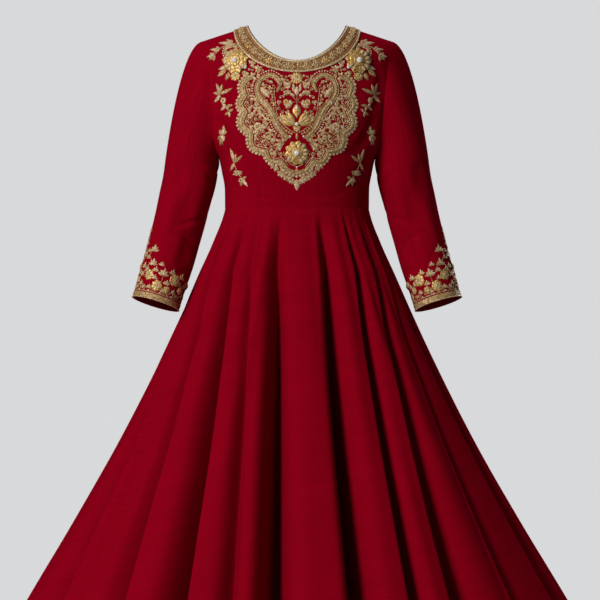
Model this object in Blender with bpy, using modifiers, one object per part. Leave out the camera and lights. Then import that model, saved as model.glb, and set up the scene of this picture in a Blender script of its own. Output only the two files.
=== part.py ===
"""Anarkali suit: a fitted bodice with long sleeves over a full skirt of twelve kalis.

Metres, +Z up, the wearer's front facing -Y. The origin is the middle of the neck, level with
the points where the shoulder seams meet the neckline. The wearer's left is at +X.
"""
import bpy
import bmesh
from math import acos, asin, atan2, cos, hypot, pi, radians, sin
from mathutils import Matrix, Vector

# Cloth and seams
WALL = 0.0013             # thickness of every cloth wall
GAP = 0.0003              # clearance at seams and under everything that lies on the cloth
SEAM_HALF = 0.0005        # half of the seam gap on side, shoulder and back seams
ON_CLOTH = 0.0007         # clearance under embroidery that lies on a curved panel

# Bodice
NECK_HALF = 0.090         # half of the neck opening's width
NECK_DEPTH_FRONT = 0.075  # how far the neckline drops at the centre front
NECK_DEPTH_BACK = 0.055   # how far it drops at the centre back
NECK_POWER = 1.4          # roundness of the neckline
TIP_HALF = 0.178          # half of the width across the shoulder seams
TIP_DROP = 0.028          # how far the shoulder seam drops from neck to sleeve
ROUND_TIP = 0.050         # height over which the cloth turns from the shoulder seam to the chest
ROUND_NECK = 0.080        # the same at the middle of the neck
REACH_SHARE = 1.21        # distance along the cloth for one radian of that turn, per height
WAIST = -0.338            # height of the waist seam
UNDERARM = -0.245         # height of the lowest point of the armhole
RING_POWER = 2.2          # a little squarer than an ellipse

# Sections of the torso, from the top down
HEIGHT, HALF, FRONT, BACK, DEPTH = range(5)
TORSO = (
    # height, half width, front depth, back depth
    (0.030, 0.1980, 0.0700, 0.0740),
    (-0.028, 0.1930, 0.0800, 0.0860),
    (-0.080, 0.1860, 0.0940, 0.0990),
    (-0.140, 0.1780, 0.1080, 0.1050),
    (-0.200, 0.1660, 0.1150, 0.1030),
    (-0.230, 0.1525, 0.1150, 0.1010),
    (-0.245, 0.1440, 0.1140, 0.1000),
    (-0.270, 0.1385, 0.1100, 0.0970),
    (-0.300, 0.1335, 0.1030, 0.0930),
    (WAIST, 0.1330, 0.0970, 0.0900),
)

# Half width of the bodice at the armhole seam, from the shoulder down
ARM_FRONT, ARM_BACK = 1, 2
ARMHOLE = (
    # height, half width in front, half width behind
    (-0.0280, 0.1780, 0.1780),
    (-0.0600, 0.1700, 0.1715),
    (-0.1000, 0.1630, 0.1665),
    (-0.1400, 0.1585, 0.1630),
    (-0.1800, 0.1555, 0.1600),
    (-0.2150, 0.1515, 0.1545),
    (-0.2450, 0.1440, 0.1440),
)

# Sections of the sleeve below the underarm, along its centre line
ARM_WIDE, ARM_DEEP = 3, 4
ARM = (
    # centre x, centre y, centre z, half width, half depth
    (0.1935, 0.0020, -0.2470, 0.0500, 0.0560),
    (0.1990, 0.0030, -0.2830, 0.0495, 0.0545),
    (0.2080, 0.0030, -0.3200, 0.0483, 0.0530),
    (0.2165, 0.0010, -0.3570, 0.0473, 0.0510),
    (0.2260, -0.0030, -0.3940, 0.0465, 0.0495),
    (0.2355, -0.0090, -0.4310, 0.0460, 0.0480),
    (0.2470, -0.0160, -0.4690, 0.0450, 0.0462),
    (0.2600, -0.0235, -0.5130, 0.0430, 0.0440),
)
CAP_STEPS = (0.06, 0.20, 0.40, 0.60, 0.80)   # rings between the armhole and the underarm
CAP_START = 0.44          # how strongly the sleeve leaves along the shoulder
CAP_END = 1.07            # how strongly it arrives along the arm
LEAVE_X, LEAVE_Y, LEAVE_Z = 0.93, 0.10, -0.34     # direction in which it leaves at mid armhole
UNDER_X, UNDER_Y, UNDER_Z = 0.30, 0.05, -0.95     # and at the underarm
SLEEVE_AWAY = 0.00036     # clearance between the armhole and the sleeve

# Sections of the skirt over its ridges, from the waist down
SKIRT_TOP = WAIST - GAP
HEM = -1.370
SKIRT = (
    # height, half width, front depth, back depth, depth of the folds
    (SKIRT_TOP, 0.1330, 0.0970, 0.0900, 0.0000),
    (-0.3570, 0.1380, 0.1010, 0.0945, 0.0012),
    (-0.3760, 0.1445, 0.1065, 0.1000, 0.0040),
    (-0.4130, 0.1595, 0.1190, 0.1125, 0.0110),
    (-0.4500, 0.1765, 0.1330, 0.1265, 0.0180),
    (-0.5056, 0.2010, 0.1560, 0.1500, 0.0275),
    (-0.5800, 0.2345, 0.1890, 0.1830, 0.0390),
    (-0.6540, 0.2700, 0.2240, 0.2180, 0.0490),
    (-0.7650, 0.3280, 0.2790, 0.2740, 0.0620),
    (-0.9130, 0.4130, 0.3560, 0.3520, 0.0780),
    (-1.0590, 0.5010, 0.4350, 0.4340, 0.0930),
    (HEM, 0.6800, 0.6020, 0.6060, 0.1180),
)
SKIRT_ROWS = (SKIRT_TOP, -0.376, -0.430, -0.5056, -0.600, -0.730, -0.900, -1.120, HEM)
FOLD_TOP = -0.450         # height at which a fold's upper direction is given
FOLD_LOW = -1.000         # height at which its lower direction is given
FOLD_SPOTS = (0.0, 0.10, 0.21, 0.36, 0.62, 0.79, 0.90)    # columns of the mesh in each fold
FOLD_PINCH = 0.25         # narrows the valleys and widens the ridges
FOLD_LEAN = 0.80          # how far the flutes lean away from the front and back centres
LEAN_FULL = 7.0           # degrees from the centre at which they lean fully
FOLD_POWER = 3.0          # makes the valleys narrow and steep
KALI_CLEAR = 0.00015      # how far each kali's edge stands back from the seam
ROUND_OVER = 0.25         # height below the waist over which the skirt turns fully round

# Folds all round, by the direction of each valley in degrees from the front. A seam lies in the
# valleys marked with 1, where two kalis meet.
TOP_DEG, LOW_DEG, STRENGTH, SEAM = range(1, 5)
FOLDS = (
    # name, upper direction, lower direction, strength, seam
    ("back centre", -180.0, -180.0, 0.90, 1),
    ("back left outer", -165.0, -167.0, 0.85, 0),
    ("back left seam", -150.0, -153.0, 1.00, 1),
    ("back left", -137.0, -140.0, 0.90, 0),
    ("left behind seam", -126.0, -128.0, 0.95, 1),
    ("left behind", -117.0, -117.0, 0.85, 0),
    ("left side seam", -109.0, -107.0, 0.85, 1),
    ("left side", -100.0, -97.0, 0.80, 0),
    ("left front seam", -91.0, -82.0, 0.95, 1),
    ("left front outer", -80.0, -60.0, 1.30, 0),
    ("left front", -61.0, -39.5, 1.40, 1),
    ("left inner", -41.0, -23.8, 1.80, 0),
    ("left shallow", -28.0, -13.6, 0.50, 0),
    ("centre left", -13.0, -5.8, 1.60, 1),
    ("centre right", 18.5, 13.2, 1.35, 0),
    ("right inner", 37.0, 24.6, 1.30, 1),
    ("right front", 52.0, 34.2, 1.20, 0),
    ("right shallow", 63.0, 52.0, 0.25, 0),
    ("right front seam", 72.0, 70.0, 1.10, 1),
    ("right front outer", 82.0, 81.0, 0.70, 0),
    ("right side", 91.0, 90.0, 0.75, 0),
    ("right side seam", 100.0, 99.0, 0.80, 1),
    ("right behind", 110.0, 110.0, 0.85, 0),
    ("right behind seam", 121.0, 122.0, 0.95, 1),
    ("back right", 134.0, 136.0, 0.90, 0),
    ("back right seam", 149.0, 151.0, 1.00, 1),
    ("back right outer", 165.0, 166.0, 0.85, 0),
)

# Mesh of the bodice: segments along each edge of a half panel
NECK_STEPS = 8
SHOULDER_STEPS = 5
ARMHOLE_STEPS = 12
SIDE_STEPS = 5

# Embroidery that stands off the cloth
BAND_THICK = 0.0010
BAND_HALF = 0.116         # half width of the neck band's outer edge at the shoulder
BAND_DEPTH_FRONT = 0.097  # drop of its outer edge at the centre front
BAND_DEPTH_BACK = 0.077   # and at the centre back
BAND_POWER = 0.94
BAND_STEPS = 14
BAND_ACROSS = 3
LIFT_STEPS = 40           # points tried along the band's outer edge
LIFT_FLAT = 0.004         # distance from that edge at which a flower is still lifted over it
LIFT_FADE = 0.005         # distance over which the lift then fades out
CUFF_HEIGHT = 0.011
RIBBON_THICK = 0.0012
BORDER_HALF = 0.0058      # half width of the scalloped ribbon
BORDER_STEPS = 6          # segments along one scallop
BORDER_X, BORDER_Z, BORDER_BULGE = range(3)
BORDER = (
    # x and z of each cusp, and how far the scallop that follows it bulges
    (0.0845, -0.1040, 0.0090),
    (0.0940, -0.1380, 0.0080),
    (0.0936, -0.1685, 0.0115),
    (0.0830, -0.2065, 0.0130),
    (0.0555, -0.2400, 0.0090),
    (0.0278, -0.2580, 0.0050),
    (0.0000, -0.2790, 0.0000),
)
PAISLEY_HALF = 2
PAISLEY_STEPS = 3         # segments between two rows of the table
PAISLEY = (
    # x, z and half width along the ribbon, from the hook of the head to the end of the tail
    (0.0356, -0.1335, 0.0022),
    (0.0305, -0.1165, 0.0042),
    (0.0460, -0.1020, 0.0046),
    (0.0655, -0.1105, 0.0046),
    (0.0715, -0.1290, 0.0046),
    (0.0640, -0.1475, 0.0048),
    (0.0515, -0.1620, 0.0050),
    (0.0430, -0.1775, 0.0052),
    (0.0345, -0.1970, 0.0050),
    (0.0205, -0.2120, 0.0042),
    (0.0110, -0.2155, 0.0020),
)
FLOWERS = (
    # name, x, z, radius
    ("flower_upper_left", 0.1110, -0.0740, 0.0225),
    ("flower_upper_right", -0.1110, -0.0740, 0.0225),
    ("flower_lower", 0.0000, -0.2430, 0.0200),
)
FLOWER_PETALS = 8
FLOWER_EDGE = 0.0010      # thickness at the petals' edge
FLOWER_RISE = 0.0035      # thickness at the crown of the petals
FLOWER_SINK = 0.22        # how much of the radius the petals are notched

# Zip
TAPE_HALF = 0.0110
TAPE_THICK = 0.0008
TAPE_TOP = -0.0590
TAPE_END = -0.4280
TAPE_HIGH_STEPS = 11
TAPE_LOW_STEPS = 4
SLIDER_WIDE = 0.0060
SLIDER_LONG = 0.0090
SLIDER_THICK = 0.0018
SLIDER_HEIGHT = -0.0830   # height of the slider's middle
PIN_RADIUS = 0.0006
EAR_THICK = 0.0010
EAR_LONG = 0.0030
EAR_RIM = 0.0006          # metal of the ears beyond the pin
EYE_WIDE = 0.0026
EYE_OUTER = 0.0018
EYE_INNER = 0.0010
PULL_LONG = 0.0230
PULL_WIDE = 0.0056
PULL_THICK = 0.0010
PULL_START = 0.0060       # distance from the pin to the wide part of the pull
NECK_SHARE = 0.75         # where the middle of the pull's neck lies on that distance
PULL_LEAN = radians(8)    # how far the hanging pull leans in towards the cloth
TAPE_SINK = 0.00143       # depth of the tape's face behind the cloth's outer face

CRIMSON = (0.215, 0.002, 0.018)
GOLD_THREAD = (0.50, 0.33, 0.13)
GOLD_METAL = (0.62, 0.42, 0.12)
TAPE_RED = (0.10, 0.002, 0.010)


def track(rows, column, height):
    """Smooth value of one column at a height. The rows run from the top down."""
    if height >= rows[0][HEIGHT]:
        return rows[0][column]
    if height <= rows[-1][HEIGHT]:
        return rows[-1][column]
    k = 0
    while rows[k + 1][HEIGHT] > height:
        k += 1

    def secant(i):
        fall = rows[i + 1][HEIGHT] - rows[i][HEIGHT]
        return (rows[i + 1][column] - rows[i][column]) / fall

    def slope(i):
        if i == 0:
            return secant(0)
        if i == len(rows) - 1:
            return secant(i - 1)
        before = secant(i - 1)
        after = secant(i)
        if before * after <= 0.0:
            return 0.0
        return 2.0 * before * after / (before + after)

    span = rows[k + 1][HEIGHT] - rows[k][HEIGHT]
    t = (height - rows[k][HEIGHT]) / span
    start = rows[k][column]
    end = rows[k + 1][column]
    return (start * (1 + 2 * t) * (1 - t) ** 2 + end * t * t * (3 - 2 * t)
            + span * slope(k) * t * (1 - t) ** 2 - span * slope(k + 1) * t * t * (1 - t))


def mix(a, b, t):
    return a + (b - a) * t


def smooth(t):
    t = min(1.0, max(0.0, t))
    return t * t * (3.0 - 2.0 * t)


# The bodice's outer surface. A point is given by x and by its distance down the cloth from the
# shoulder line, so that the surface stays even where it turns over the shoulder.

def crest(x):
    """Height of the shoulder line."""
    return -TIP_DROP * (abs(x) - NECK_HALF) / (TIP_HALF - NECK_HALF)


def turn_height(x):
    """Height over which the cloth turns from the shoulder line to the chest."""
    return mix(ROUND_NECK, ROUND_TIP, min(1.0, abs(x) / TIP_HALF))


def drop(x, down):
    """Height lost at a distance down the cloth from the shoulder line."""
    high = turn_height(x)
    quarter = high * REACH_SHARE * pi / 2
    if down < quarter:
        return high * (1.0 - cos(down / (high * REACH_SHARE)))
    return high + down - quarter


def down_at(x, z):
    """Distance down the cloth of the point at x and z."""
    fall = max(0.0, crest(x) - z)
    high = turn_height(x)
    if fall < high:
        return high * REACH_SHARE * acos(1.0 - fall / high)
    return high * REACH_SHARE * pi / 2 + fall - high


def bodice(side, x, down):
    """Point of the outer surface. side is -1 in front and 1 behind."""
    z = crest(x) - drop(x, down)
    column = FRONT if side < 0 else BACK
    ratio = min(1.0, abs(x) / track(TORSO, HALF, z))
    deep = track(TORSO, column, z) * (1.0 - ratio ** RING_POWER) ** (1.0 / RING_POWER)
    turned = min(pi / 2, down / (turn_height(x) * REACH_SHARE))
    return Vector((x, side * deep * sin(turned), z))


def bodice_at(side, x, z):
    return bodice(side, x, down_at(x, z))


def bodice_normal(side, x, down):
    """Outward direction of the surface."""
    step = 0.0005
    across = bodice(side, x + step, down) - bodice(side, x - step, down)
    along = bodice(side, x, down + step) - bodice(side, x, max(0.0, down - step))
    return (along.cross(across) * -side).normalized()


def on_bodice(side, x, z, height):
    """Point at a height above the bodice."""
    down = down_at(x, z)
    return bodice(side, x, down) + bodice_normal(side, x, down) * height


def swing(x, z):
    """Position round the torso: 0 at the centre and 1 at the side."""
    return asin(min(1.0, x / track(TORSO, HALF, z))) / (pi / 2)


def bodice_from_swing(side, turn, down):
    """Point of the surface from its position round the torso."""
    z = WAIST / 2
    x = 0.0
    for _ in range(12):
        x = track(TORSO, HALF, z) * sin(turn * pi / 2)
        z = crest(x) - drop(x, down)
    return bodice(side, x, down)


# Edges of a half panel, each as x and z for a parameter from 0 to 1

def neckline(depth, t):
    angle = t * pi / 2
    return NECK_HALF * sin(angle), -depth * cos(angle) ** NECK_POWER


def shoulder_seam(t):
    x = mix(NECK_HALF, TIP_HALF, t)
    return x, crest(x)


def armhole(side, t):
    z = mix(-TIP_DROP, UNDERARM, (1.0 - cos(pi * t)) / 2)
    column = ARM_FRONT if side < 0 else ARM_BACK
    return track(ARMHOLE, column, z), z


def side_seam(t):
    z = mix(UNDERARM, WAIST, t)
    return track(TORSO, HALF, z), z


def waist_line(side, t):
    return track(TORSO, HALF, WAIST) * sin(t * pi / 2), WAIST


def even(curve, point, count):
    """Parameters that split a curve into equal lengths."""
    fine = 400
    places = [point(*curve(i / fine)) for i in range(fine + 1)]
    run = [0.0]
    for a, b in zip(places, places[1:]):
        run.append(run[-1] + (b - a).length)
    out = [0.0]
    k = 0
    for i in range(1, count):
        want = run[-1] * i / count
        while run[k + 1] < want:
            k += 1
        out.append((k + (want - run[k]) / (run[k + 1] - run[k])) / fine)
    return out + [1.0]


def surface_pair(x, z):
    return Vector((swing(x, z), down_at(x, z)))


def armhole_params(side):
    return even(lambda t: armhole(side, t), lambda x, z: bodice_at(side, x, z), ARMHOLE_STEPS)


def half_panel(side):
    """Grid of points of a half panel, rows from the top down, columns from the centre out."""
    depth = NECK_DEPTH_FRONT if side < 0 else NECK_DEPTH_BACK

    def place(x, z):
        return bodice_at(side, x, z)

    top = []
    for t in even(lambda t: neckline(depth, t), place, NECK_STEPS):
        top.append(surface_pair(*neckline(depth, t)))
    for i in range(1, SHOULDER_STEPS + 1):
        top.append(surface_pair(*shoulder_seam(i / SHOULDER_STEPS)))
    edge = [surface_pair(*armhole(side, t)) for t in armhole_params(side)]
    for i in range(1, SIDE_STEPS + 1):
        edge.append(surface_pair(*side_seam(i / SIDE_STEPS)))
    base = [surface_pair(*waist_line(side, t))
            for t in even(lambda t: waist_line(side, t), place, len(top) - 1)]
    rows = len(edge) - 1
    columns = len(top) - 1
    centre = [top[0].lerp(base[0], j / rows) for j in range(rows + 1)]
    grid = []
    for j in range(rows + 1):
        v = j / rows
        row = []
        for i in range(columns + 1):
            u = i / columns
            corners = (top[0].lerp(top[-1], u)).lerp(base[0].lerp(base[-1], u), v)
            pair = top[i].lerp(base[i], v) + centre[j].lerp(edge[j], u) - corners
            turn = min(1.0, max(0.0, pair.x))
            point = bodice_from_swing(side, turn, max(0.0, pair.y))
            if abs(point.y) < SEAM_HALF:
                point.y = side * SEAM_HALF
            if j == rows:
                point.z = WAIST
            row.append(point)
        grid.append(row)
    return grid


# The skirt's outer surface, from its position among the folds and its height

def fold_direction(k, z):
    """Direction of one valley at a height, in radians."""
    turns, index = divmod(k, len(FOLDS))
    row = FOLDS[index]
    top = 1.0 / track(SKIRT, HALF, FOLD_TOP)
    low = 1.0 / track(SKIRT, HALF, FOLD_LOW)
    here = 1.0 / track(SKIRT, HALF, z)
    share = min(1.0, (here - low) / (top - low))
    return radians(mix(row[LOW_DEG], row[TOP_DEG], share) + 360.0 * turns)


def skirt_frame(place, z):
    """Point of the skirt and the direction across it. place has whole numbers in the valleys."""
    k = int(place // 1)
    s = place - k
    before = fold_direction(k, z)
    after = fold_direction(k + 1, z)
    full = sin(radians(2.0 * LEAN_FULL))
    lean = FOLD_LEAN * max(-1.0, min(1.0, sin(before + after) / full))
    pinched = s - FOLD_PINCH / (2 * pi) * sin(2 * pi * s)
    turn = mix(before, after, pinched + lean / (2 * pi) * (1.0 - cos(2 * pi * s)))
    nearer = k if s < 0.5 else k + 1
    strength = FOLDS[nearer % len(FOLDS)][STRENGTH]
    hollow = (cos(pi * s) ** 2) ** FOLD_POWER
    valley = hollow * strength * track(SKIRT, DEPTH, z)
    half = track(SKIRT, HALF, z)
    front = cos(turn) > 0.0
    deep = track(SKIRT, FRONT if front else BACK, z)
    c = cos(turn)
    n = sin(turn)
    shape = (abs(c) ** RING_POWER + abs(n) ** RING_POWER) ** (-1.0 / RING_POWER)
    reach = mix(shape, 1.0, smooth((WAIST - z) / ROUND_OVER))
    out = Vector((deep * n, -half * c, 0.0)).normalized()
    across = Vector((half * c, deep * n, 0.0)).normalized()
    return Vector((half * n * reach, -deep * c * reach, z)) - out * valley, across


# The sleeve, as rings from the armhole to the cuff

def arm_frame(k):
    """Centre, lateral and forward directions of a ring of the sleeve."""
    centre = Vector(ARM[k][:3])
    before = Vector(ARM[max(0, k - 1)][:3])
    after = Vector(ARM[min(len(ARM) - 1, k + 1)][:3])
    along = (after - before).normalized()
    lateral = (Vector((1, 0, 0)) - along * along.x).normalized()
    forward = lateral.cross(along)
    if forward.y > 0:
        forward = -forward
    return centre, lateral, forward, along


def arm_ring(k, turn):
    """Point of a ring. turn is 0 on the outer side and a quarter in front."""
    centre, lateral, forward, _ = arm_frame(k)
    angle = 2 * pi * turn
    return (centre + lateral * (ARM[k][ARM_WIDE] * cos(angle))
            + forward * (ARM[k][ARM_DEEP] * sin(angle)))


def sleeve_start(i, params):
    """Where the sleeve meets the armhole, and the direction in which it leaves."""
    steps = ARMHOLE_STEPS
    side = -1 if i <= steps else 1
    t = params[side][i if i <= steps else 2 * steps - i]
    step = 0.002
    x, z = armhole(side, t)
    point = bodice_at(side, x, z)
    before = bodice_at(side, *armhole(side, max(0.0, t - step)))
    after = bodice_at(side, *armhole(side, min(1.0, t + step)))
    normal = bodice_normal(side, x, down_at(x, z))
    if i in (0, steps):
        normal.y = 0.0
        normal.normalize()
    curve = (after - before).normalized()
    if i == 0 or i == steps:
        curve = Vector((0.0, -1.0 if i == 0 else 1.0, 0.0))
    tangent = (normal.cross(curve) * -side).normalized()
    height = (point.z - UNDERARM) / (-TIP_DROP - UNDERARM)
    middle = Vector((LEAVE_X, side * LEAVE_Y, LEAVE_Z))
    lower = Vector((UNDER_X, side * UNDER_Y, UNDER_Z))
    leave = middle.lerp(tangent, smooth((height - 0.55) / 0.40))
    leave = lower.lerp(leave, smooth(height / 0.35)).normalized()
    away = (tangent + Vector((0.6, 0.0, 0.0))).normalized()
    return point + away * SLEEVE_AWAY, leave


def sleeve_point(ring, i, starts):
    """Point of the sleeve: ring counts from the armhole, i runs round it."""
    around = 2 * ARMHOLE_STEPS
    first = len(CAP_STEPS) + 1
    if ring >= first:
        return arm_ring(ring - first, i / around)
    start, leave = starts[i]
    if ring == 0:
        return start
    end = arm_ring(0, i / around)
    along = arm_frame(0)[3]
    reach = (end - start).length
    t = CAP_STEPS[ring - 1]
    return (start * (1 + 2 * t) * (1 - t) ** 2 + end * t * t * (3 - 2 * t)
            + leave * reach * CAP_START * t * (1 - t) ** 2
            - along * reach * CAP_END * t * t * (1 - t))


# Building

def new_material(name, colour, roughness, metallic):
    material = bpy.data.materials.new(name)
    material.use_nodes = True
    shader = material.node_tree.nodes["Principled BSDF"]
    shader.inputs["Base Color"].default_value = (*colour, 1.0)
    shader.inputs["Roughness"].default_value = roughness
    shader.inputs["Metallic"].default_value = metallic
    return material


def new_object(name, bm, material, smooth_angle=radians(40)):
    mesh = bpy.data.meshes.new(name)
    bm.to_mesh(mesh)
    bm.free()
    mesh.materials.append(material)
    mesh.shade_smooth()
    mesh.set_sharp_from_angle(angle=smooth_angle)
    obj = bpy.data.objects.new(name, mesh)
    PARTS.objects.link(obj)
    return obj


def cloth(name, columns, rows, point, material, thickness=WALL, flip=False, closed=False):
    """Cloth wall on a grid of points. Its outer face is on the points, the wall is inside.

    point(i, j) gives the point of column i, counted to the right, and row j, counted upwards.
    """
    bm = bmesh.new()
    bmesh.ops.create_grid(bm, x_segments=columns, y_segments=rows, size=0.5)
    for vert in bm.verts:
        i = round((vert.co.x + 0.5) * columns)
        j = round((vert.co.y + 0.5) * rows)
        vert.co = point(i, j)
    if closed:
        bmesh.ops.remove_doubles(bm, verts=bm.verts, dist=0.00001)
    if flip:
        bmesh.ops.reverse_faces(bm, faces=bm.faces)
    obj = new_object(name, bm, material)
    solidify = obj.modifiers.new("Wall", 'SOLIDIFY')
    solidify.thickness = thickness
    solidify.offset = -1.0
    return obj


def mirrored(point, sign):
    """Point on the wearer's left for 1 and on the right for -1."""
    return Vector((point.x * sign, point.y, point.z))


def build_bodice():
    grid = half_panel(-1)
    rows = len(grid) - 1
    half = len(grid[0]) - 1

    def front(i, j):
        row = grid[rows - j]
        return mirrored(row[abs(i - half)], 1 if i >= half else -1)

    cloth("bodice_front", 2 * half, rows, front, MAT_CLOTH)
    back = half_panel(1)
    for name, sign in (("bodice_back_left", 1), ("bodice_back_right", -1)):

        def panel(i, j, sign=sign):
            point = back[rows - j][i].copy()
            point.x = max(point.x, SEAM_HALF)
            return mirrored(point, sign)

        cloth(name, half, rows, panel, MAT_CLOTH, flip=sign > 0)


def build_sleeves():
    rings = len(CAP_STEPS) + len(ARM)
    around = 2 * ARMHOLE_STEPS
    params = {side: armhole_params(side) for side in (-1, 1)}
    starts = [sleeve_start(i, params) for i in range(around)]
    grid = [[sleeve_point(ring, i, starts) for i in range(around)] for ring in range(rings + 1)]
    for name, sign in (("sleeve_left", 1), ("sleeve_right", -1)):

        def point(i, j, sign=sign):
            return mirrored(grid[rings - j][i % around], sign)

        cloth(name, around, rings, point, MAT_CLOTH, flip=sign > 0, closed=True)
    return grid


def build_cuffs(grid):
    around = 2 * ARMHOLE_STEPS
    last = grid[-1]
    above = grid[-2]
    centre = Vector((0, 0, 0))
    for point in last:
        centre += point / around
    for name, sign in (("cuff_band_left", 1), ("cuff_band_right", -1)):

        def point(i, j, sign=sign):
            low = last[i % around]
            high = above[i % around]
            up = (high - low).normalized()
            out = (low - centre).normalized()
            spot = low + up * CUFF_HEIGHT * j + out * (ON_CLOTH + BAND_THICK)
            return mirrored(spot, sign)

        cloth(name, around, 1, point, MAT_THREAD, thickness=BAND_THICK, flip=sign > 0,
              closed=True)


def build_skirt():
    seams = [k for k, row in enumerate(FOLDS) if row[SEAM]]
    rows = len(SKIRT_ROWS) - 1
    for number, start in enumerate(seams):
        end = seams[(number + 1) % len(seams)]
        if end <= start:
            end += len(FOLDS)
        columns = (end - start) * len(FOLD_SPOTS)

        def point(i, j, start=start, columns=columns):
            fold, step = divmod(i, len(FOLD_SPOTS))
            spot, across = skirt_frame(start + fold + FOLD_SPOTS[step], SKIRT_ROWS[rows - j])
            if i == 0:
                spot = spot + across * KALI_CLEAR
            if i == columns:
                spot = spot - across * KALI_CLEAR
            return spot

        cloth(f"kali_{number + 1:02d}", columns, rows, point, MAT_CLOTH)


def band_edges(side, t):
    """x and z on the inner and outer edge of the neck band, from the centre to the shoulder."""
    depth = NECK_DEPTH_FRONT if side < 0 else NECK_DEPTH_BACK
    outer_depth = BAND_DEPTH_FRONT if side < 0 else BAND_DEPTH_BACK
    inner = Vector(neckline(depth, t))
    angle = t * pi / 2
    x = BAND_HALF * sin(angle)
    end = crest(BAND_HALF)
    outer = Vector((x, end - (outer_depth + end) * cos(angle) ** BAND_POWER))
    return inner, outer


def band_point(side, t, share, height):
    """Point of the neck band: share 0 is its inner edge and 1 its outer edge."""
    inner, outer = band_edges(side, t)
    first = Vector((inner.x, down_at(inner.x, inner.y)))
    last = Vector((outer.x, down_at(outer.x, outer.y)))
    spot = first.lerp(last, share)
    point = bodice(side, spot.x, spot.y) + bodice_normal(side, spot.x, spot.y) * height
    if abs(point.y) < SEAM_HALF:
        point.y = side * SEAM_HALF
    return point


def build_neck_band():
    height = ON_CLOTH + BAND_THICK
    params = {}
    for side in (-1, 1):
        depth = NECK_DEPTH_FRONT if side < 0 else NECK_DEPTH_BACK
        params[side] = even(lambda t: neckline(depth, t),
                            lambda x, z: bodice_at(side, x, z), BAND_STEPS)

    def front(i, j):
        sign = 1 if i >= BAND_STEPS else -1
        t = params[-1][abs(i - BAND_STEPS)]
        return mirrored(band_point(-1, t, 1.0 - j / BAND_ACROSS, height), sign)

    cloth("neck_band_front", 2 * BAND_STEPS, BAND_ACROSS, front, MAT_THREAD, thickness=BAND_THICK)
    for name, sign in (("neck_band_back_left", 1), ("neck_band_back_right", -1)):

        def back(i, j, sign=sign):
            point = band_point(1, params[1][i], 1.0 - j / BAND_ACROSS, height)
            point.x = max(point.x, SEAM_HALF)
            return mirrored(point, sign)

        cloth(name, BAND_STEPS, BAND_ACROSS, back, MAT_THREAD, thickness=BAND_THICK, flip=sign > 0)


def ribbon(name, path, halves, material):
    """Flat ribbon on the bodice front along a path of x and z."""
    last = len(path) - 1

    def point(i, j):
        before = path[max(0, i - 1)]
        after = path[min(last, i + 1)]
        along = (after - before).normalized()
        normal = Vector((-along.y, along.x))
        spot = path[i] + normal * halves[i] * (1 if j else -1)
        return on_bodice(-1, spot.x, spot.y, ON_CLOTH + RIBBON_THICK)

    return cloth(name, last, 1, point, material, thickness=RIBBON_THICK)


def border_path():
    """Middle line of the scalloped border, from the right shoulder round to the left."""
    half = []
    for a, b in zip(BORDER, BORDER[1:]):
        start = Vector((a[BORDER_X], a[BORDER_Z]))
        end = Vector((b[BORDER_X], b[BORDER_Z]))
        along = (end - start).normalized()
        out = Vector((-along.y, along.x))
        for i in range(BORDER_STEPS):
            t = i / BORDER_STEPS
            half.append(start.lerp(end, t) + out * a[BORDER_BULGE] * sin(pi * t))
    middle = [Vector((0.0, BORDER[-1][BORDER_Z]))]
    right = [Vector((-point.x, point.y)) for point in half]
    return right + middle + half[::-1]


def spline(table, steps):
    """Points and half widths along a smooth line through the rows of a table."""
    path = []
    halves = []
    last = len(table) - 1
    for k in range(last):
        a = table[max(0, k - 1)]
        b = table[k]
        c = table[k + 1]
        d = table[min(last, k + 2)]
        for i in range(steps):
            t = i / steps
            values = [0.5 * (2 * b[n] + (c[n] - a[n]) * t
                             + (2 * a[n] - 5 * b[n] + 4 * c[n] - d[n]) * t * t
                             + (3 * b[n] - a[n] - 3 * c[n] + d[n]) * t ** 3) for n in range(3)]
            path.append(Vector(values[:2]))
            halves.append(values[PAISLEY_HALF])
    path.append(Vector(table[last][:2]))
    halves.append(table[last][PAISLEY_HALF])
    return path, halves


def build_ribbons():
    path = border_path()
    ribbon("yoke_border", path, [BORDER_HALF] * len(path), MAT_THREAD)
    path, halves = spline(PAISLEY, PAISLEY_STEPS)
    ribbon("paisley_left", path, halves, MAT_THREAD)
    mirror = [Vector((-point.x, point.y)) for point in path]
    ribbon("paisley_right", mirror, halves, MAT_THREAD)


def band_lift(x, z):
    """Extra height for what crosses the neck band, which fades out just outside it."""
    whole = BAND_THICK + GAP
    best = BAND_HALF
    for i in range(LIFT_STEPS + 1):
        outer = band_edges(-1, i / LIFT_STEPS)[1]
        best = min(best, hypot(abs(x) - outer.x, z - outer.y))
        inside = 0.0 < outer.x - abs(x) < LIFT_FLAT
        if inside and z > outer.y:
            return whole
    return whole * (1.0 - smooth((best - LIFT_FLAT) / LIFT_FADE))


def build_flower(name, x, z, radius):
    """Domed flower of notched petals, a flattened ball whose underside follows the cloth."""
    bm = bmesh.new()
    bmesh.ops.create_uvsphere(bm, u_segments=3 * FLOWER_PETALS, v_segments=6, radius=1.0)
    for vert in bm.verts:
        share = min(1.0, hypot(vert.co.x, vert.co.y))
        angle = atan2(vert.co.y, vert.co.x)
        notch = FLOWER_SINK * (1.0 - abs(cos(angle * FLOWER_PETALS / 2))) * share * share
        reach = radius * share * (1.0 - notch)
        spot_x = x + reach * cos(angle)
        spot_z = z + reach * sin(angle)
        crown = (1.0 - share ** 3) * (1.0 - notch)
        height = 0.0
        if abs(vert.co.z) < 0.01:
            height = FLOWER_EDGE / 2
        elif vert.co.z > 0.0:
            height = FLOWER_EDGE + (FLOWER_RISE - FLOWER_EDGE) * crown
        vert.co = on_bodice(-1, spot_x, spot_z, ON_CLOTH + band_lift(spot_x, spot_z) + height)
    bmesh.ops.recalc_face_normals(bm, faces=bm.faces)
    new_object(name, bm, MAT_METAL)


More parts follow.
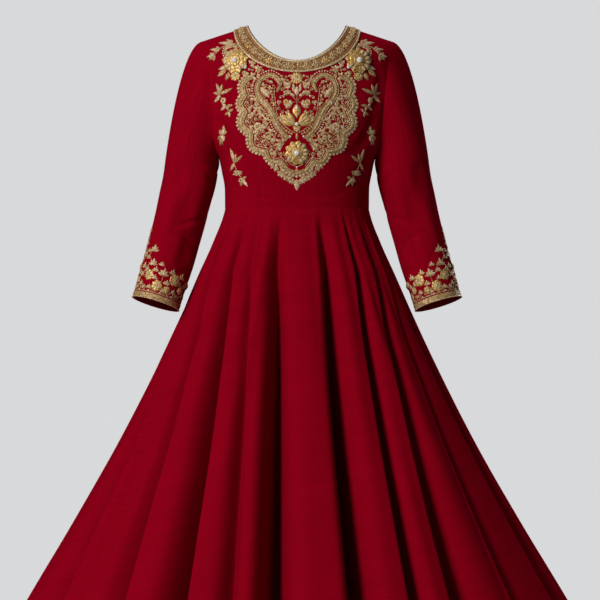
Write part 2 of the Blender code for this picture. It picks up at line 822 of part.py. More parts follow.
def tape_depth(z):
    """How far behind the middle plane the zip tape's outer face lies."""
    if z > WAIST + 0.0001:
        surface = bodice_at(1, TAPE_HALF, z).y
    else:
        surface = skirt_frame(0, min(z, SKIRT_TOP))[0].y
    return surface - TAPE_SINK - GAP


def solid_box(size, centre):
    bm = bmesh.new()
    bmesh.ops.create_cube(bm, size=1.0)
    bmesh.ops.scale(bm, vec=size, verts=bm.verts)
    bmesh.ops.translate(bm, vec=centre, verts=bm.verts)
    return bm


def solid_pin(radius, length, centre):
    """Cylinder along X."""
    bm = bmesh.new()
    turn = Matrix.Rotation(pi / 2, 4, 'Y')
    bmesh.ops.create_cone(bm, cap_ends=True, segments=16, radius1=radius, radius2=radius,
                          depth=length, matrix=Matrix.Translation(centre) @ turn)
    return bm


def helper(name, bm, frame):
    mesh = bpy.data.meshes.new(name)
    bm.to_mesh(mesh)
    bm.free()
    obj = bpy.data.objects.new(name, mesh)
    obj.matrix_world = frame
    obj.hide_render = True
    obj.display_type = 'WIRE'
    HELPERS.objects.link(obj)
    return obj


def combine(obj, tool, operation):
    boolean = obj.modifiers.new(operation.title(), 'BOOLEAN')
    boolean.operation = operation
    boolean.solver = 'EXACT'
    boolean.object = tool


def build_zip():
    """Concealed zip: tape inside the centre-back seam, slider and hanging pull outside it."""
    heights = [mix(TAPE_END, WAIST, i / TAPE_LOW_STEPS) for i in range(TAPE_LOW_STEPS)]
    heights += [mix(WAIST, TAPE_TOP, i / TAPE_HIGH_STEPS) for i in range(TAPE_HIGH_STEPS + 1)]

    def tape(i, j):
        return Vector((TAPE_HALF * (1 - 2 * i), tape_depth(heights[j]), heights[j]))

    cloth("zip_tape", 1, len(heights) - 1, tape, MAT_TAPE, thickness=TAPE_THICK)

    down = down_at(0.0, SLIDER_HEIGHT)
    foot = bodice(1, 0.0, down)
    out = bodice_normal(1, 0.0, down)
    lean = atan2(-out.z, out.y)
    frame = Matrix.Translation(foot) @ Matrix.Rotation(-lean, 4, 'X')
    ear_x = EYE_WIDE / 2 + GAP + EAR_THICK / 2
    top = ON_CLOTH + SLIDER_THICK
    pin_out = top + GAP + EYE_OUTER
    ear_reach = pin_out + PIN_RADIUS + EAR_RIM
    body = solid_box((SLIDER_WIDE, SLIDER_THICK, SLIDER_LONG),
                     (0.0, ON_CLOTH + SLIDER_THICK / 2, 0.0))
    slider = new_object("zip_slider", body, MAT_METAL)
    slider.matrix_world = frame
    for sign in (1, -1):
        ear = solid_box((EAR_THICK, ear_reach - ON_CLOTH - SLIDER_THICK / 2, EAR_LONG),
                        (sign * ear_x, (ear_reach + ON_CLOTH + SLIDER_THICK / 2) / 2, 0.0))
        combine(slider, helper("ear", ear, frame), 'UNION')
    pin = solid_pin(PIN_RADIUS, 2 * ear_x, (0.0, pin_out, 0.0))
    combine(slider, helper("pin", pin, frame), 'UNION')

    pull_frame = (frame @ Matrix.Translation((0.0, pin_out, 0.0))
                  @ Matrix.Rotation(-PULL_LEAN, 4, 'X'))
    plate = solid_box((PULL_WIDE, PULL_THICK, PULL_LONG - PULL_START),
                      (0.0, 0.0, -(PULL_LONG + PULL_START) / 2))
    pull = new_object("zip_pull", plate, MAT_METAL)
    pull.matrix_world = pull_frame
    neck = solid_box((EYE_WIDE, PULL_THICK, PULL_START),
                     (0.0, 0.0, -PULL_START * NECK_SHARE))
    combine(pull, helper("neck", neck, pull_frame), 'UNION')
    eye = solid_pin(EYE_OUTER, EYE_WIDE, (0.0, 0.0, 0.0))
    combine(pull, helper("eye", eye, pull_frame), 'UNION')
    hole = solid_pin(EYE_INNER, 2 * EYE_WIDE, (0.0, 0.0, 0.0))
    combine(pull, helper("hole", hole, pull_frame), 'DIFFERENCE')


def build_all():
    build_bodice()
    grid = build_sleeves()
    build_cuffs(grid)
    build_skirt()
    build_neck_band()
    build_ribbons()
    for name, x, z, radius in FLOWERS:
        build_flower(name, x, z, radius)
    build_zip()


for old in list(bpy.data.objects):
    bpy.data.objects.remove(old, do_unlink=True)
PARTS = bpy.data.collections.new("Anarkali suit")
bpy.context.scene.collection.children.link(PARTS)
HELPERS = bpy.data.collections.new("Cutters")
bpy.context.scene.collection.children.link(HELPERS)
MAT_CLOTH = new_material("crimson_cloth", CRIMSON, 0.85, 0.0)
MAT_THREAD = new_material("gold_thread", GOLD_THREAD, 0.5, 0.6)
MAT_METAL = new_material("gold_metal", GOLD_METAL, 0.3, 1.0)
MAT_TAPE = new_material("zip_tape", TAPE_RED, 0.8, 0.0)
build_all()
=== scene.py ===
"""Looks of the anarkali suit: fine cloth, embroidery, zip, floor, light and camera.

Metres, in the frame of the CAD model: the origin is the middle of the neck, the front faces -Y.
"""
from math import atan2, cos, degrees, pi, radians, sin

import bpy
import numpy as np
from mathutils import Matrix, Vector


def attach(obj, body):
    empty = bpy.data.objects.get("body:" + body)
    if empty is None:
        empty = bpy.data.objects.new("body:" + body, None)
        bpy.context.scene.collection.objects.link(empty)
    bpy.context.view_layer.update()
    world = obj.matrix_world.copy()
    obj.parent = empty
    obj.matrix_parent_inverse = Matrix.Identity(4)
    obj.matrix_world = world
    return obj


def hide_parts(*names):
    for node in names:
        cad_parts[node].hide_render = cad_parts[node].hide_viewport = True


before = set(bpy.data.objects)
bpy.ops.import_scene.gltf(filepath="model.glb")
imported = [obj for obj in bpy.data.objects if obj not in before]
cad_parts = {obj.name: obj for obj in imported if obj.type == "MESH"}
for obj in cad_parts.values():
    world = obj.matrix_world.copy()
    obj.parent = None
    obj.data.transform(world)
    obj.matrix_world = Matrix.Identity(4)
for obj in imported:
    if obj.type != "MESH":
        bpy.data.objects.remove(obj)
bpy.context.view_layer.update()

# Sizes of the garment, the same as in the CAD model
WALL = 0.0013
GAP = 0.0003
NECK_HALF = 0.090
NECK_DEPTH_FRONT = 0.075
NECK_DEPTH_BACK = 0.055
NECK_POWER = 1.4
TIP_HALF = 0.178
TIP_DROP = 0.028
ROUND_TIP = 0.050
ROUND_NECK = 0.080
REACH_SHARE = 1.21
WAIST = -0.338
UNDERARM = -0.245
RING_POWER = 2.2
HALF, FRONT, BACK, DEPTH = range(1, 5)
TORSO = (
    # height, half width, front depth, back depth
    (0.030, 0.1980, 0.0700, 0.0740),
    (-0.028, 0.1930, 0.0800, 0.0860),
    (-0.080, 0.1860, 0.0940, 0.0990),
    (-0.140, 0.1780, 0.1080, 0.1050),
    (-0.200, 0.1660, 0.1150, 0.1030),
    (-0.230, 0.1525, 0.1150, 0.1010),
    (-0.245, 0.1440, 0.1140, 0.1000),
    (-0.270, 0.1385, 0.1100, 0.0970),
    (-0.300, 0.1335, 0.1030, 0.0930),
    (WAIST, 0.1330, 0.0970, 0.0900),
)
ARM_FRONT, ARM_BACK = 1, 2
ARMHOLE = (
    # height, half width in front, half width behind
    (-0.0280, 0.1780, 0.1780),
    (-0.0600, 0.1700, 0.1715),
    (-0.1000, 0.1630, 0.1665),
    (-0.1400, 0.1585, 0.1630),
    (-0.1800, 0.1555, 0.1600),
    (-0.2150, 0.1515, 0.1545),
    (-0.2450, 0.1440, 0.1440),
)
ARM_WIDE, ARM_DEEP = 3, 4
ARM = (
    # centre x, centre y, centre z, half width, half depth
    (0.1935, 0.0020, -0.2470, 0.0500, 0.0560),
    (0.1990, 0.0030, -0.2830, 0.0495, 0.0545),
    (0.2080, 0.0030, -0.3200, 0.0483, 0.0530),
    (0.2165, 0.0010, -0.3570, 0.0473, 0.0510),
    (0.2260, -0.0030, -0.3940, 0.0465, 0.0495),
    (0.2355, -0.0090, -0.4310, 0.0460, 0.0480),
    (0.2470, -0.0160, -0.4690, 0.0450, 0.0462),
    (0.2600, -0.0235, -0.5130, 0.0430, 0.0440),
)
CAP_START = 0.44
CAP_END = 1.07
SKIRT_TOP = WAIST - GAP
HEM = -1.370
SKIRT = (
    # height, half width, front depth, back depth, depth of the folds
    (SKIRT_TOP, 0.1330, 0.0970, 0.0900, 0.0000),
    (-0.3570, 0.1380, 0.1010, 0.0945, 0.0012),
    (-0.3760, 0.1445, 0.1065, 0.1000, 0.0040),
    (-0.4130, 0.1595, 0.1190, 0.1125, 0.0110),
    (-0.4500, 0.1765, 0.1330, 0.1265, 0.0180),
    (-0.5056, 0.2010, 0.1560, 0.1500, 0.0275),
    (-0.5800, 0.2345, 0.1890, 0.1830, 0.0390),
    (-0.6540, 0.2700, 0.2240, 0.2180, 0.0490),
    (-0.7650, 0.3280, 0.2790, 0.2740, 0.0620),
    (-0.9130, 0.4130, 0.3560, 0.3520, 0.0780),
    (-1.0590, 0.5010, 0.4350, 0.4340, 0.0930),
    (HEM, 0.6800, 0.6020, 0.6060, 0.1180),
)
FOLD_TOP = -0.450
FOLD_LOW = -1.000
FOLD_PINCH = 0.25
FOLD_LEAN = 0.80         # how far the flutes lean away from the front and back centres
LEAN_FULL = 7.0          # degrees from the centre at which they lean fully
FOLD_POWER = 3.0         # narrows the valleys
TOP_DEG, LOW_DEG, STRENGTH = range(3)
FOLDS = (
    # upper direction, lower direction, strength
    (-180.0, -180.0, 0.90),
    (-165.0, -167.0, 0.85),
    (-150.0, -153.0, 1.00),
    (-137.0, -140.0, 0.90),
    (-126.0, -128.0, 0.95),
    (-117.0, -117.0, 0.85),
    (-109.0, -107.0, 0.85),
    (-100.0, -97.0, 0.80),
    (-91.0, -82.0, 0.95),
    (-80.0, -60.0, 1.30),
    (-61.0, -39.5, 1.40),
    (-41.0, -23.8, 1.80),
    (-28.0, -13.6, 0.50),
    (-13.0, -5.8, 1.60),
    (18.5, 13.2, 1.35),
    (37.0, 24.6, 1.30),
    (52.0, 34.2, 1.20),
    (63.0, 52.0, 0.25),
    (72.0, 70.0, 1.10),
    (82.0, 81.0, 0.70),
    (91.0, 90.0, 0.75),
    (100.0, 99.0, 0.80),
    (110.0, 110.0, 0.85),
    (121.0, 122.0, 0.95),
    (134.0, 136.0, 0.90),
    (149.0, 151.0, 1.00),
    (165.0, 166.0, 0.85),
)
ON_CLOTH = 0.0007
BAND_THICK = 0.0010
BAND_HALF = 0.116
BAND_DEPTH_FRONT = 0.097
BAND_DEPTH_BACK = 0.077
BAND_POWER = 0.94

# Camera: the photograph's frame at the garment's middle plane
PHOTO = 600
PER_METRE = 540.0
MIDDLE_X = 297.0
NECK_ROW = 27.0
CAMERA_AWAY = 3.2


# Curves through the tables

def track(rows, column, height):
    if height >= rows[0][0]:
        return rows[0][column]
    if height <= rows[-1][0]:
        return rows[-1][column]
    k = 0
    while rows[k + 1][0] > height:
        k += 1

    def secant(i):
        return (rows[i + 1][column] - rows[i][column]) / (rows[i + 1][0] - rows[i][0])

    def slope(i):
        if i == 0:
            return secant(0)
        if i == len(rows) - 1:
            return secant(i - 1)
        before = secant(i - 1)
        after = secant(i)
        if before * after <= 0.0:
            return 0.0
        return 2.0 * before * after / (before + after)

    span = rows[k + 1][0] - rows[k][0]
    t = (height - rows[k][0]) / span
    start = rows[k][column]
    end = rows[k + 1][column]
    return (start * (1 + 2 * t) * (1 - t) ** 2 + end * t * t * (3 - 2 * t)
            + span * slope(k) * t * (1 - t) ** 2 - span * slope(k + 1) * t * t * (1 - t))


def curve_of(rows, column):
    heights = np.linspace(rows[-1][0], rows[0][0], 1400)
    values = np.array([track(rows, column, h) for h in heights])
    return lambda z: np.interp(z, heights, values)


TORSO_HALF = curve_of(TORSO, HALF)
TORSO_DEEP = {-1: curve_of(TORSO, FRONT), 1: curve_of(TORSO, BACK)}
HOLE = {-1: curve_of(ARMHOLE, ARM_FRONT), 1: curve_of(ARMHOLE, ARM_BACK)}
SKIRT_HALF = curve_of(SKIRT, HALF)
SKIRT_FRONT = curve_of(SKIRT, FRONT)
SKIRT_BACK = curve_of(SKIRT, BACK)
SKIRT_DEPTH = curve_of(SKIRT, DEPTH)


def mix(a, b, t):
    return a + (b - a) * t


def smooth(t):
    t = np.clip(t, 0.0, 1.0)
    return t * t * (3.0 - 2.0 * t)


def unit(v):
    return v / np.maximum(np.linalg.norm(v, axis=-1, keepdims=True), 1e-12)


def stack(x, y, z):
    return np.stack(np.broadcast_arrays(x, y, z), axis=-1)


def mirrored(points, sign):
    """Points as they are for sign 1, and on the other side of the middle for -1."""
    return points * np.array([sign, 1.0, 1.0])


def run_of(path):
    """Distance along a path at each of its points."""
    return np.concatenate([[0.0], np.cumsum(np.linalg.norm(np.diff(path, axis=0), axis=1))])


def heading(path):
    return unit(np.gradient(path, axis=0))


def ring_shape(c, n):
    """Reach of the waist's rounded ring in the direction of a cosine and a sine."""
    return (np.abs(c) ** RING_POWER + np.abs(n) ** RING_POWER) ** (-1.0 / RING_POWER)


def bump(t):
    """Soft hill from -1 to 1."""
    t = np.clip(t, -1.0, 1.0)
    return (1.0 - t * t) ** 2


# The bodice's surface, as in the CAD model

def crest(x):
    return -TIP_DROP * (np.abs(x) - NECK_HALF) / (TIP_HALF - NECK_HALF)


def turn_height(x):
    return mix(ROUND_NECK, ROUND_TIP, np.minimum(1.0, np.abs(x) / TIP_HALF))


def drop(x, down):
    high = turn_height(x)
    quarter = high * REACH_SHARE * pi / 2
    turned = high * (1.0 - np.cos(np.minimum(down, quarter) / (high * REACH_SHARE)))
    return turned + np.maximum(0.0, down - quarter)


def down_at(x, z):
    fall = np.maximum(0.0, crest(x) - z)
    high = turn_height(x)
    arc = high * REACH_SHARE * np.arccos(1.0 - np.minimum(fall, high) / high)
    return arc + np.maximum(0.0, fall - high)


def bodice(side, x, down):
    z = crest(x) - drop(x, down)
    ratio = np.minimum(1.0, np.abs(x) / TORSO_HALF(z))
    deep = TORSO_DEEP[side](z) * (1.0 - ratio ** RING_POWER) ** (1.0 / RING_POWER)
    turned = np.minimum(pi / 2, down / (turn_height(x) * REACH_SHARE))
    return stack(x, side * deep * np.sin(turned), z)


def bodice_normal(side, x, down):
    step = 0.0006
    across = bodice(side, x + step, down) - bodice(side, x - step, down)
    along = bodice(side, x, down + step) - bodice(side, x, np.maximum(0.0, down - step))
    return unit(np.cross(along, across) * -side)


def swing(x, z):
    return np.arcsin(np.minimum(1.0, x / TORSO_HALF(z))) / (pi / 2)


def bodice_from_swing(turn, down):
    z = np.full(np.shape(turn), WAIST / 2)
    for _ in range(14):
        x = TORSO_HALF(z) * np.sin(turn * pi / 2)
        z = crest(x) - drop(x, down)
    return x


# Meshes

def keep_edges_crisp(mesh):
    """Shade the open edges of a sheet sharp, so that its cut edge keeps off its face."""
    used = np.zeros(len(mesh.loops), dtype=np.int32)
    mesh.loops.foreach_get("edge_index", used)
    faces_beside = np.bincount(used, minlength=len(mesh.edges))
    sharp = mesh.attributes.new("sharp_edge", 'BOOLEAN', 'EDGE')
    sharp.data.foreach_set("value", faces_beside == 1)


def quads_of(index):
    """Corners of the quads of a grid of point numbers."""
    return np.stack([index[:-1, :-1], index[:-1, 1:], index[1:, 1:], index[1:, :-1]], axis=-1)


def quad_mesh(name, points, faces, material):
    mesh = bpy.data.meshes.new(name)
    mesh.vertices.add(len(points))
    mesh.vertices.foreach_set("co", points.ravel())
    mesh.loops.add(faces.size)
    mesh.loops.foreach_set("vertex_index", faces.ravel())
    mesh.polygons.add(len(faces))
    mesh.polygons.foreach_set("loop_start", np.arange(0, faces.size, 4))
    mesh.update(calc_edges=True)
    mesh.shade_smooth()
    mesh.materials.append(material)
    return mesh


def new_object(name, data):
    thing = bpy.data.objects.new(name, data)
    bpy.context.scene.collection.objects.link(thing)
    return thing


def grid_piece(name, points, uv, material, thickness=WALL, flip=False, closed=False):
    """Cloth on a grid of points (rows, columns, 3), with a wall inwards from it."""
    if closed:
        points = points[:, :-1]
    rows, columns = points.shape[:2]
    index = np.arange(rows * columns).reshape(rows, columns)
    if closed:
        index = np.concatenate([index, index[:, :1]], axis=1)
    order = [0, 3, 2, 1] if flip else [0, 1, 2, 3]
    faces = quads_of(index).reshape(-1, 4)[:, order]
    corners = quads_of(np.arange(uv[..., 0].size).reshape(uv.shape[:2])).reshape(-1, 4)[:, order]
    mesh = quad_mesh(name, points.reshape(-1, 3), faces, material)
    layer = mesh.uv_layers.new(name="cloth")
    layer.data.foreach_set("uv", uv.reshape(-1, 2)[corners.ravel()].ravel())
    keep_edges_crisp(mesh)
    piece = new_object(name, mesh)
    wall = piece.modifiers.new("Wall", 'SOLIDIFY')
    wall.thickness = thickness
    wall.offset = -1.0
    return piece


# Materials

def nodes_of(name):
    material = bpy.data.materials.new(name)
    material.use_nodes = True
    tree = material.node_tree
    return material, tree, tree.nodes["Principled BSDF"]


def put(node, values):
    """Set inputs of a node by their names."""
    for name, value in values.items():
        node.inputs[name].default_value = value


def link(tree, a, b):
    tree.links.new(a, b)


def mapped(tree, source, scale):
    node = tree.nodes.new("ShaderNodeMapping")
    put(node, {"Scale": scale})
    link(tree, source, node.inputs["Vector"])
    return node.outputs["Vector"]


def noise_node(tree, source, stretch, detail, rough=0.5, scale=1.0):
    """Noise on a source that is stretched by three factors, or by none."""
    node = tree.nodes.new("ShaderNodeTexNoise")
    put(node, {"Scale": scale, "Detail": detail, "Roughness": rough})
    link(tree, mapped(tree, source, stretch) if stretch else source, node.inputs["Vector"])
    return node.outputs["Fac"]


def ramp(tree, fac, stops):
    node = tree.nodes.new("ShaderNodeValToRGB")
    while len(node.color_ramp.elements) > 1:
        node.color_ramp.elements.remove(node.color_ramp.elements[-1])
    node.color_ramp.elements[0].position = stops[0][0]
    node.color_ramp.elements[0].color = (*stops[0][1], 1.0)
    for place, colour in stops[1:]:
        element = node.color_ramp.elements.new(place)
        element.color = (*colour, 1.0)
    link(tree, fac, node.inputs["Fac"])
    return node.outputs["Color"]


def wave_node(tree, vector, direction, scale, distortion=0.0):
    node = tree.nodes.new("ShaderNodeTexWave")
    node.wave_type = 'BANDS'
    node.bands_direction = direction
    put(node, {"Scale": scale, "Distortion": distortion, "Detail": 1.0})
    link(tree, vector, node.inputs["Vector"])
    return node.outputs["Fac"]


def math_node(tree, operation, a, b):
    node = tree.nodes.new("ShaderNodeMath")
    node.operation = operation
    for socket, value in zip(node.inputs, (a, b)):
        if isinstance(value, (int, float)):
            socket.default_value = value
        else:
            link(tree, value, socket)
    return node.outputs[0]


def weighted(tree, *terms):
    """Sum of values, each times its weight."""
    total = None
    for value, weight in terms:
        term = math_node(tree, 'MULTIPLY', value, weight)
        total = term if total is None else math_node(tree, 'ADD', total, term)
    return total


def finish_shader(tree, shader, stops, tone, height, strength, distance, values):
    """Colours along a tone, relief from a height, and the rest of the shader's inputs."""
    link(tree, ramp(tree, tone, stops), shader.inputs["Base Color"])
    node = tree.nodes.new("ShaderNodeBump")
    put(node, {"Strength": strength, "Distance": distance})
    link(tree, height, node.inputs["Height"])
    link(tree, node.outputs["Normal"], shader.inputs["Normal"])
    put(shader, values)


def cloth_material(name, dark, base, light):
    """Matte cloth with a fine plain weave and slubs along the warp. UVs are metres of cloth."""
    material, tree, shader = nodes_of(name)
    uv = tree.nodes.new("ShaderNodeUVMap")
    uv.uv_map = "cloth"
    source = uv.outputs["UV"]
    slub = noise_node(tree, source, (520.0, 14.0, 1.0), 3.0, 0.6)
    cross = noise_node(tree, source, (16.0, 460.0, 1.0), 2.0)
    cloud = noise_node(tree, source, (9.0, 5.0, 1.0), 2.0)
    warp = wave_node(tree, source, 'X', 260.0)
    weft = wave_node(tree, source, 'Y', 260.0)
    threads = math_node(tree, 'MULTIPLY', warp, weft)
    tone = weighted(tree, (slub, 0.62), (cross, 0.22), (cloud, 0.16))
    height = math_node(tree, 'ADD', math_node(tree, 'MULTIPLY', threads, 0.5), slub)
    finish_shader(tree, shader, ((0.30, dark), (0.50, base), (0.70, light)), tone, height, 0.35,
                  0.0006, {"Roughness": 0.82, "Specular IOR Level": 0.0, "Sheen Weight": 0.06,
                           "Sheen Roughness": 0.45, "Sheen Tint": (0.75, 0.01, 0.05, 1.0)})
    return material


def thread_material(name, dark, base, light, metallic, rough, scale=1500.0, relief=0.6):
    """Metal-wrapped embroidery thread: fine twisted ridges with uneven tone."""
    material, tree, shader = nodes_of(name)
    place = tree.nodes.new("ShaderNodeTexCoord")
    source = place.outputs["Object"]
    fine = noise_node(tree, source, (scale, scale * 0.5, scale), 2.0, 0.6)
    patch = noise_node(tree, source, (420.0, 420.0, 420.0), 2.0, 0.6)
    tone = weighted(tree, (fine, 0.35), (patch, 0.65))
    twist = wave_node(tree, mapped(tree, source, (1.0, 0.4, 1.0)), 'DIAGONAL', 420.0, 1.5)
    height = math_node(tree, 'ADD', math_node(tree, 'MULTIPLY', twist, 0.6), fine)
    finish_shader(tree, shader, ((0.36, dark), (0.50, base), (0.62, light)), tone, height, relief,
                  0.0005, {"Metallic": metallic, "Roughness": rough})
    return material


CRIMSON = cloth_material("crimson_fabric", (0.225, 0.0004, 0.0080), (0.285, 0.0006, 0.0105),
                         (0.350, 0.0009, 0.0140))
PIPING = cloth_material("piping_fabric", (0.05, 0.001, 0.004), (0.07, 0.001, 0.005),
                        (0.09, 0.002, 0.007))
TAPE = thread_material("tape_fabric", (0.07, 0.001, 0.005), (0.10, 0.002, 0.008),
                       (0.13, 0.002, 0.011), 0.0, 0.85)
SEAM_THREAD = thread_material("seam_thread", (0.13, 0.0004, 0.0050), (0.19, 0.0006, 0.0075),
                              (0.25, 0.0009, 0.0100), 0.0, 0.85)
for plain in (TAPE, SEAM_THREAD):
    put(plain.node_tree.nodes["Principled BSDF"], {"Specular IOR Level": 0.05})
THREAD = thread_material("gold_thread_fine", (0.165, 0.075, 0.022), (0.50, 0.31, 0.125),
                         (0.86, 0.63, 0.33), 0.25, 0.45)
# Paler gold thread: partly a thread colour of its own, partly painted highlight, a lighter copy of
# the gold thread that stands in for the shine of satin-stitched leaves, beads and edges
PALE_AND_HIGHLIGHT = thread_material("pale_thread_and_highlight", (0.32, 0.19, 0.095), (0.70, 0.49, 0.27),
                       (0.98, 0.80, 0.52), 0.20, 0.42)
BAND_CLOTH = cloth_material("band_fabric", (0.11, 0.022, 0.010), (0.24, 0.090, 0.034),
                            (0.42, 0.235, 0.090))
METAL = thread_material("gold_wire", (0.30, 0.130, 0.018), (0.58, 0.330, 0.075),
                        (0.95, 0.70, 0.33), 0.45, 0.46, 900.0, 0.22)


def pearl_material():
    material, tree, shader = nodes_of("pearl_bead")
    place = tree.nodes.new("ShaderNodeTexCoord")
    cloud = noise_node(tree, place.outputs["Object"], (300.0, 300.0, 300.0), 2.0)
    link(tree, ramp(tree, cloud, ((0.3, (0.75, 0.70, 0.60)), (0.7, (0.95, 0.93, 0.88)))),
         shader.inputs["Base Color"])
    put(shader, {"Roughness": 0.12, "Coat Weight": 0.6})
    return material


PEARL = pearl_material()


# Bodice

NECK_FINE, SHOULDER_FINE, HOLE_FINE, SIDE_FINE = 44, 26, 66, 30


def even_params(curve, point, count):
    fine = np.linspace(0.0, 1.0, 1201)
    places = point(*curve(fine))
    run = run_of(places)
    return np.interp(np.linspace(0.0, run[-1], count + 1), run, fine)


def neckline(depth, t):
    angle = t * pi / 2
    return NECK_HALF * np.sin(angle), -depth * np.maximum(0.0, np.cos(angle)) ** NECK_POWER


def shoulder_seam(t):
    x = mix(NECK_HALF, TIP_HALF, t)
    return x, crest(x)


def armhole(side, t):
    z = mix(-TIP_DROP, UNDERARM, (1.0 - np.cos(pi * t)) / 2)
    return HOLE[side](z), z


def half_panel(side):
    """Fine points of a half panel, rows from the top down, with its surface positions."""
    depth = NECK_DEPTH_FRONT if side < 0 else NECK_DEPTH_BACK

    def place(x, z):
        return bodice(side, x, down_at(x, z))

    def pair(x, z):
        return np.stack([swing(x, z), down_at(x, z)], axis=-1)

    t = even_params(lambda t: neckline(depth, t), place, NECK_FINE)
    top = pair(*neckline(depth, t))
    s = np.linspace(0.0, 1.0, SHOULDER_FINE + 1)[1:]
    top = np.concatenate([top, pair(*shoulder_seam(s))])
    t = even_params(lambda t: armhole(side, t), place, HOLE_FINE)
    edge = pair(*armhole(side, t))
    s = np.linspace(0.0, 1.0, SIDE_FINE + 1)[1:]
    low = mix(UNDERARM, WAIST, s)
    edge = np.concatenate([edge, pair(TORSO_HALF(low), low)])
    columns = len(top)
    rows = len(edge)

    def waist(t):
        x = TORSO_HALF(WAIST) * np.sin(t * pi / 2)
        return x, np.full(np.shape(x), WAIST)

    base = pair(*waist(even_params(waist, place, columns - 1)))
    u = np.linspace(0.0, 1.0, columns)[None, :, None]
    v = np.linspace(0.0, 1.0, rows)[:, None, None]
    centre = mix(top[0], base[0], np.linspace(0.0, 1.0, rows)[:, None])
    corners = mix(mix(top[0], top[-1], u), mix(base[0], base[-1], u), v)
    pairs = (mix(top[None], base[None], v) + mix(centre[:, None], edge[:, None], u) - corners)
    turn = np.clip(pairs[..., 0], 0.0, 1.0)
    down = np.maximum(0.0, pairs[..., 1])
    x = bodice_from_swing(turn, down)
    return x, down


def bodice_crease(side, x, z):
    """Soft troughs and ridges of the bodice, in metres outwards."""
    lift = np.zeros(np.shape(x))
    rows = CREASES_FRONT if side < 0 else CREASES_BACK
    for cx, cz, length, width, angle, depth in rows:
        a = radians(angle)
        along = (x - cx) * cos(a) + (z - cz) * sin(a)
        across = -(x - cx) * sin(a) + (z - cz) * cos(a)
        bend = across - 0.25 * along * along / max(length, 1e-6)
        lift += depth * bump(along / length) * bump(bend / width)
    return lift


CREASES_FRONT = (
    # centre x, centre z, half length, half width, direction in degrees, height
    (0.128, -0.205, 0.065, 0.014, 62.0, -0.0048),
    (-0.128, -0.205, 0.065, 0.014, 118.0, -0.0048),
    (0.112, -0.175, 0.050, 0.014, 56.0, 0.0014),
    (-0.112, -0.175, 0.050, 0.014, 124.0, 0.0014),
    (0.060, -0.318, 0.055, 0.008, 8.0, -0.0012),
    (-0.052, -0.322, 0.060, 0.007, 172.0, -0.0012),
    (0.095, -0.300, 0.035, 0.007, 14.0, -0.0010),
    (-0.098, -0.304, 0.035, 0.007, 166.0, -0.0010),
    (0.020, -0.300, 0.015, 0.030, 88.0, 0.0008),
    (0.148, -0.130, 0.060, 0.011, 78.0, -0.0034),
    (-0.148, -0.130, 0.060, 0.011, 102.0, -0.0034),
)
CREASES_BACK = (
    (0.110, -0.215, 0.060, 0.013, 60.0, -0.0022),
    (-0.112, -0.212, 0.058, 0.013, 120.0, -0.0022),
    (0.050, -0.300, 0.060, 0.009, 6.0, -0.0018),
    (-0.056, -0.296, 0.058, 0.009, 175.0, -0.0018),
    (0.045, -0.322, 0.050, 0.007, 2.0, -0.0014),
    (-0.048, -0.320, 0.052, 0.007, 178.0, -0.0014),
    (0.130, -0.110, 0.050, 0.011, 82.0, -0.0014),
    (-0.130, -0.110, 0.050, 0.011, 98.0, -0.0014),
)


SEAM_HALF = 0.0002         # clearance of front and back from the side seams,
CENTRE_HALF = 0.0003       # and of the back's halves from the middle
BACK_SPREAD = 1.15         # metres of the back's cloth in a metre of width
BACK_UV = 0.7              # where the back starts in the weave
CREASE_FADE_TOP = 0.02     # the creases fade in over this length from the shoulder seam,
CREASE_FADE_LOW = 0.012    # and fade out over this one above the waist
CENTRE_FADE = 0.012        # and beside the back opening


def creased_bodice(side, x, down, sign=1, keep=1.0, height=0.0):
    """Points of the bodice with its creases, at a height over the cloth."""
    point = bodice(side, x, down)
    z = point[..., 2]
    fade = np.minimum(smooth(down / CREASE_FADE_TOP), smooth((z - WAIST) / CREASE_FADE_LOW)) * keep
    lift = bodice_crease(side, x * sign, z) * fade + height
    return point + bodice_normal(side, x, down) * np.asarray(lift)[..., None]


def build_bodice():
    x, down = half_panel(-1)
    x = np.concatenate([-x[:, :0:-1], x], axis=1)
    down = np.concatenate([down[:, :0:-1], down], axis=1)
    pieces = []
    points = creased_bodice(-1, x, down)
    points[..., 1] = np.minimum(points[..., 1], -SEAM_HALF)
    points[-1, :, 2] = WAIST
    run = np.cumsum(np.linalg.norm(np.diff(points, axis=1), axis=-1), axis=1)
    across = np.concatenate([np.zeros((len(points), 1)), run], axis=1)
    across = across - across[:, across.shape[1] // 2][:, None]
    uv = np.stack([across, -down], axis=-1)
    front = grid_piece("front_panel", points[::-1], uv[::-1], CRIMSON)
    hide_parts("bodice_front")
    pieces.append(front)
    for sign, node, name in ((1, "bodice_back_left", "back_panel_left"),
                             (-1, "bodice_back_right", "back_panel_right")):
        x, down = half_panel(1)
        x = np.maximum(x, CENTRE_HALF)
        points = creased_bodice(1, x, down, sign, smooth(x / CENTRE_FADE))
        points[..., 1] = np.maximum(points[..., 1], SEAM_HALF)
        points[-1, :, 2] = WAIST
        points[..., 0] *= sign
        uv = np.stack([x * BACK_SPREAD + BACK_UV, -down], axis=-1)
        back = grid_piece(name, points[::-1], uv[::-1], CRIMSON, flip=sign > 0)
        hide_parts(node)
        pieces.append(back)
    return pieces


# Sleeves

AROUND = 96
CAP_FINE = 44
ARM_FINE = 96
CAP_SPACING = 1.15         # crowds the cap's rows towards the armhole
SLEEVE_ROUND = 0.32        # metres of cloth round the sleeve, and where they start in the weave
SLEEVE_UV = 1.4


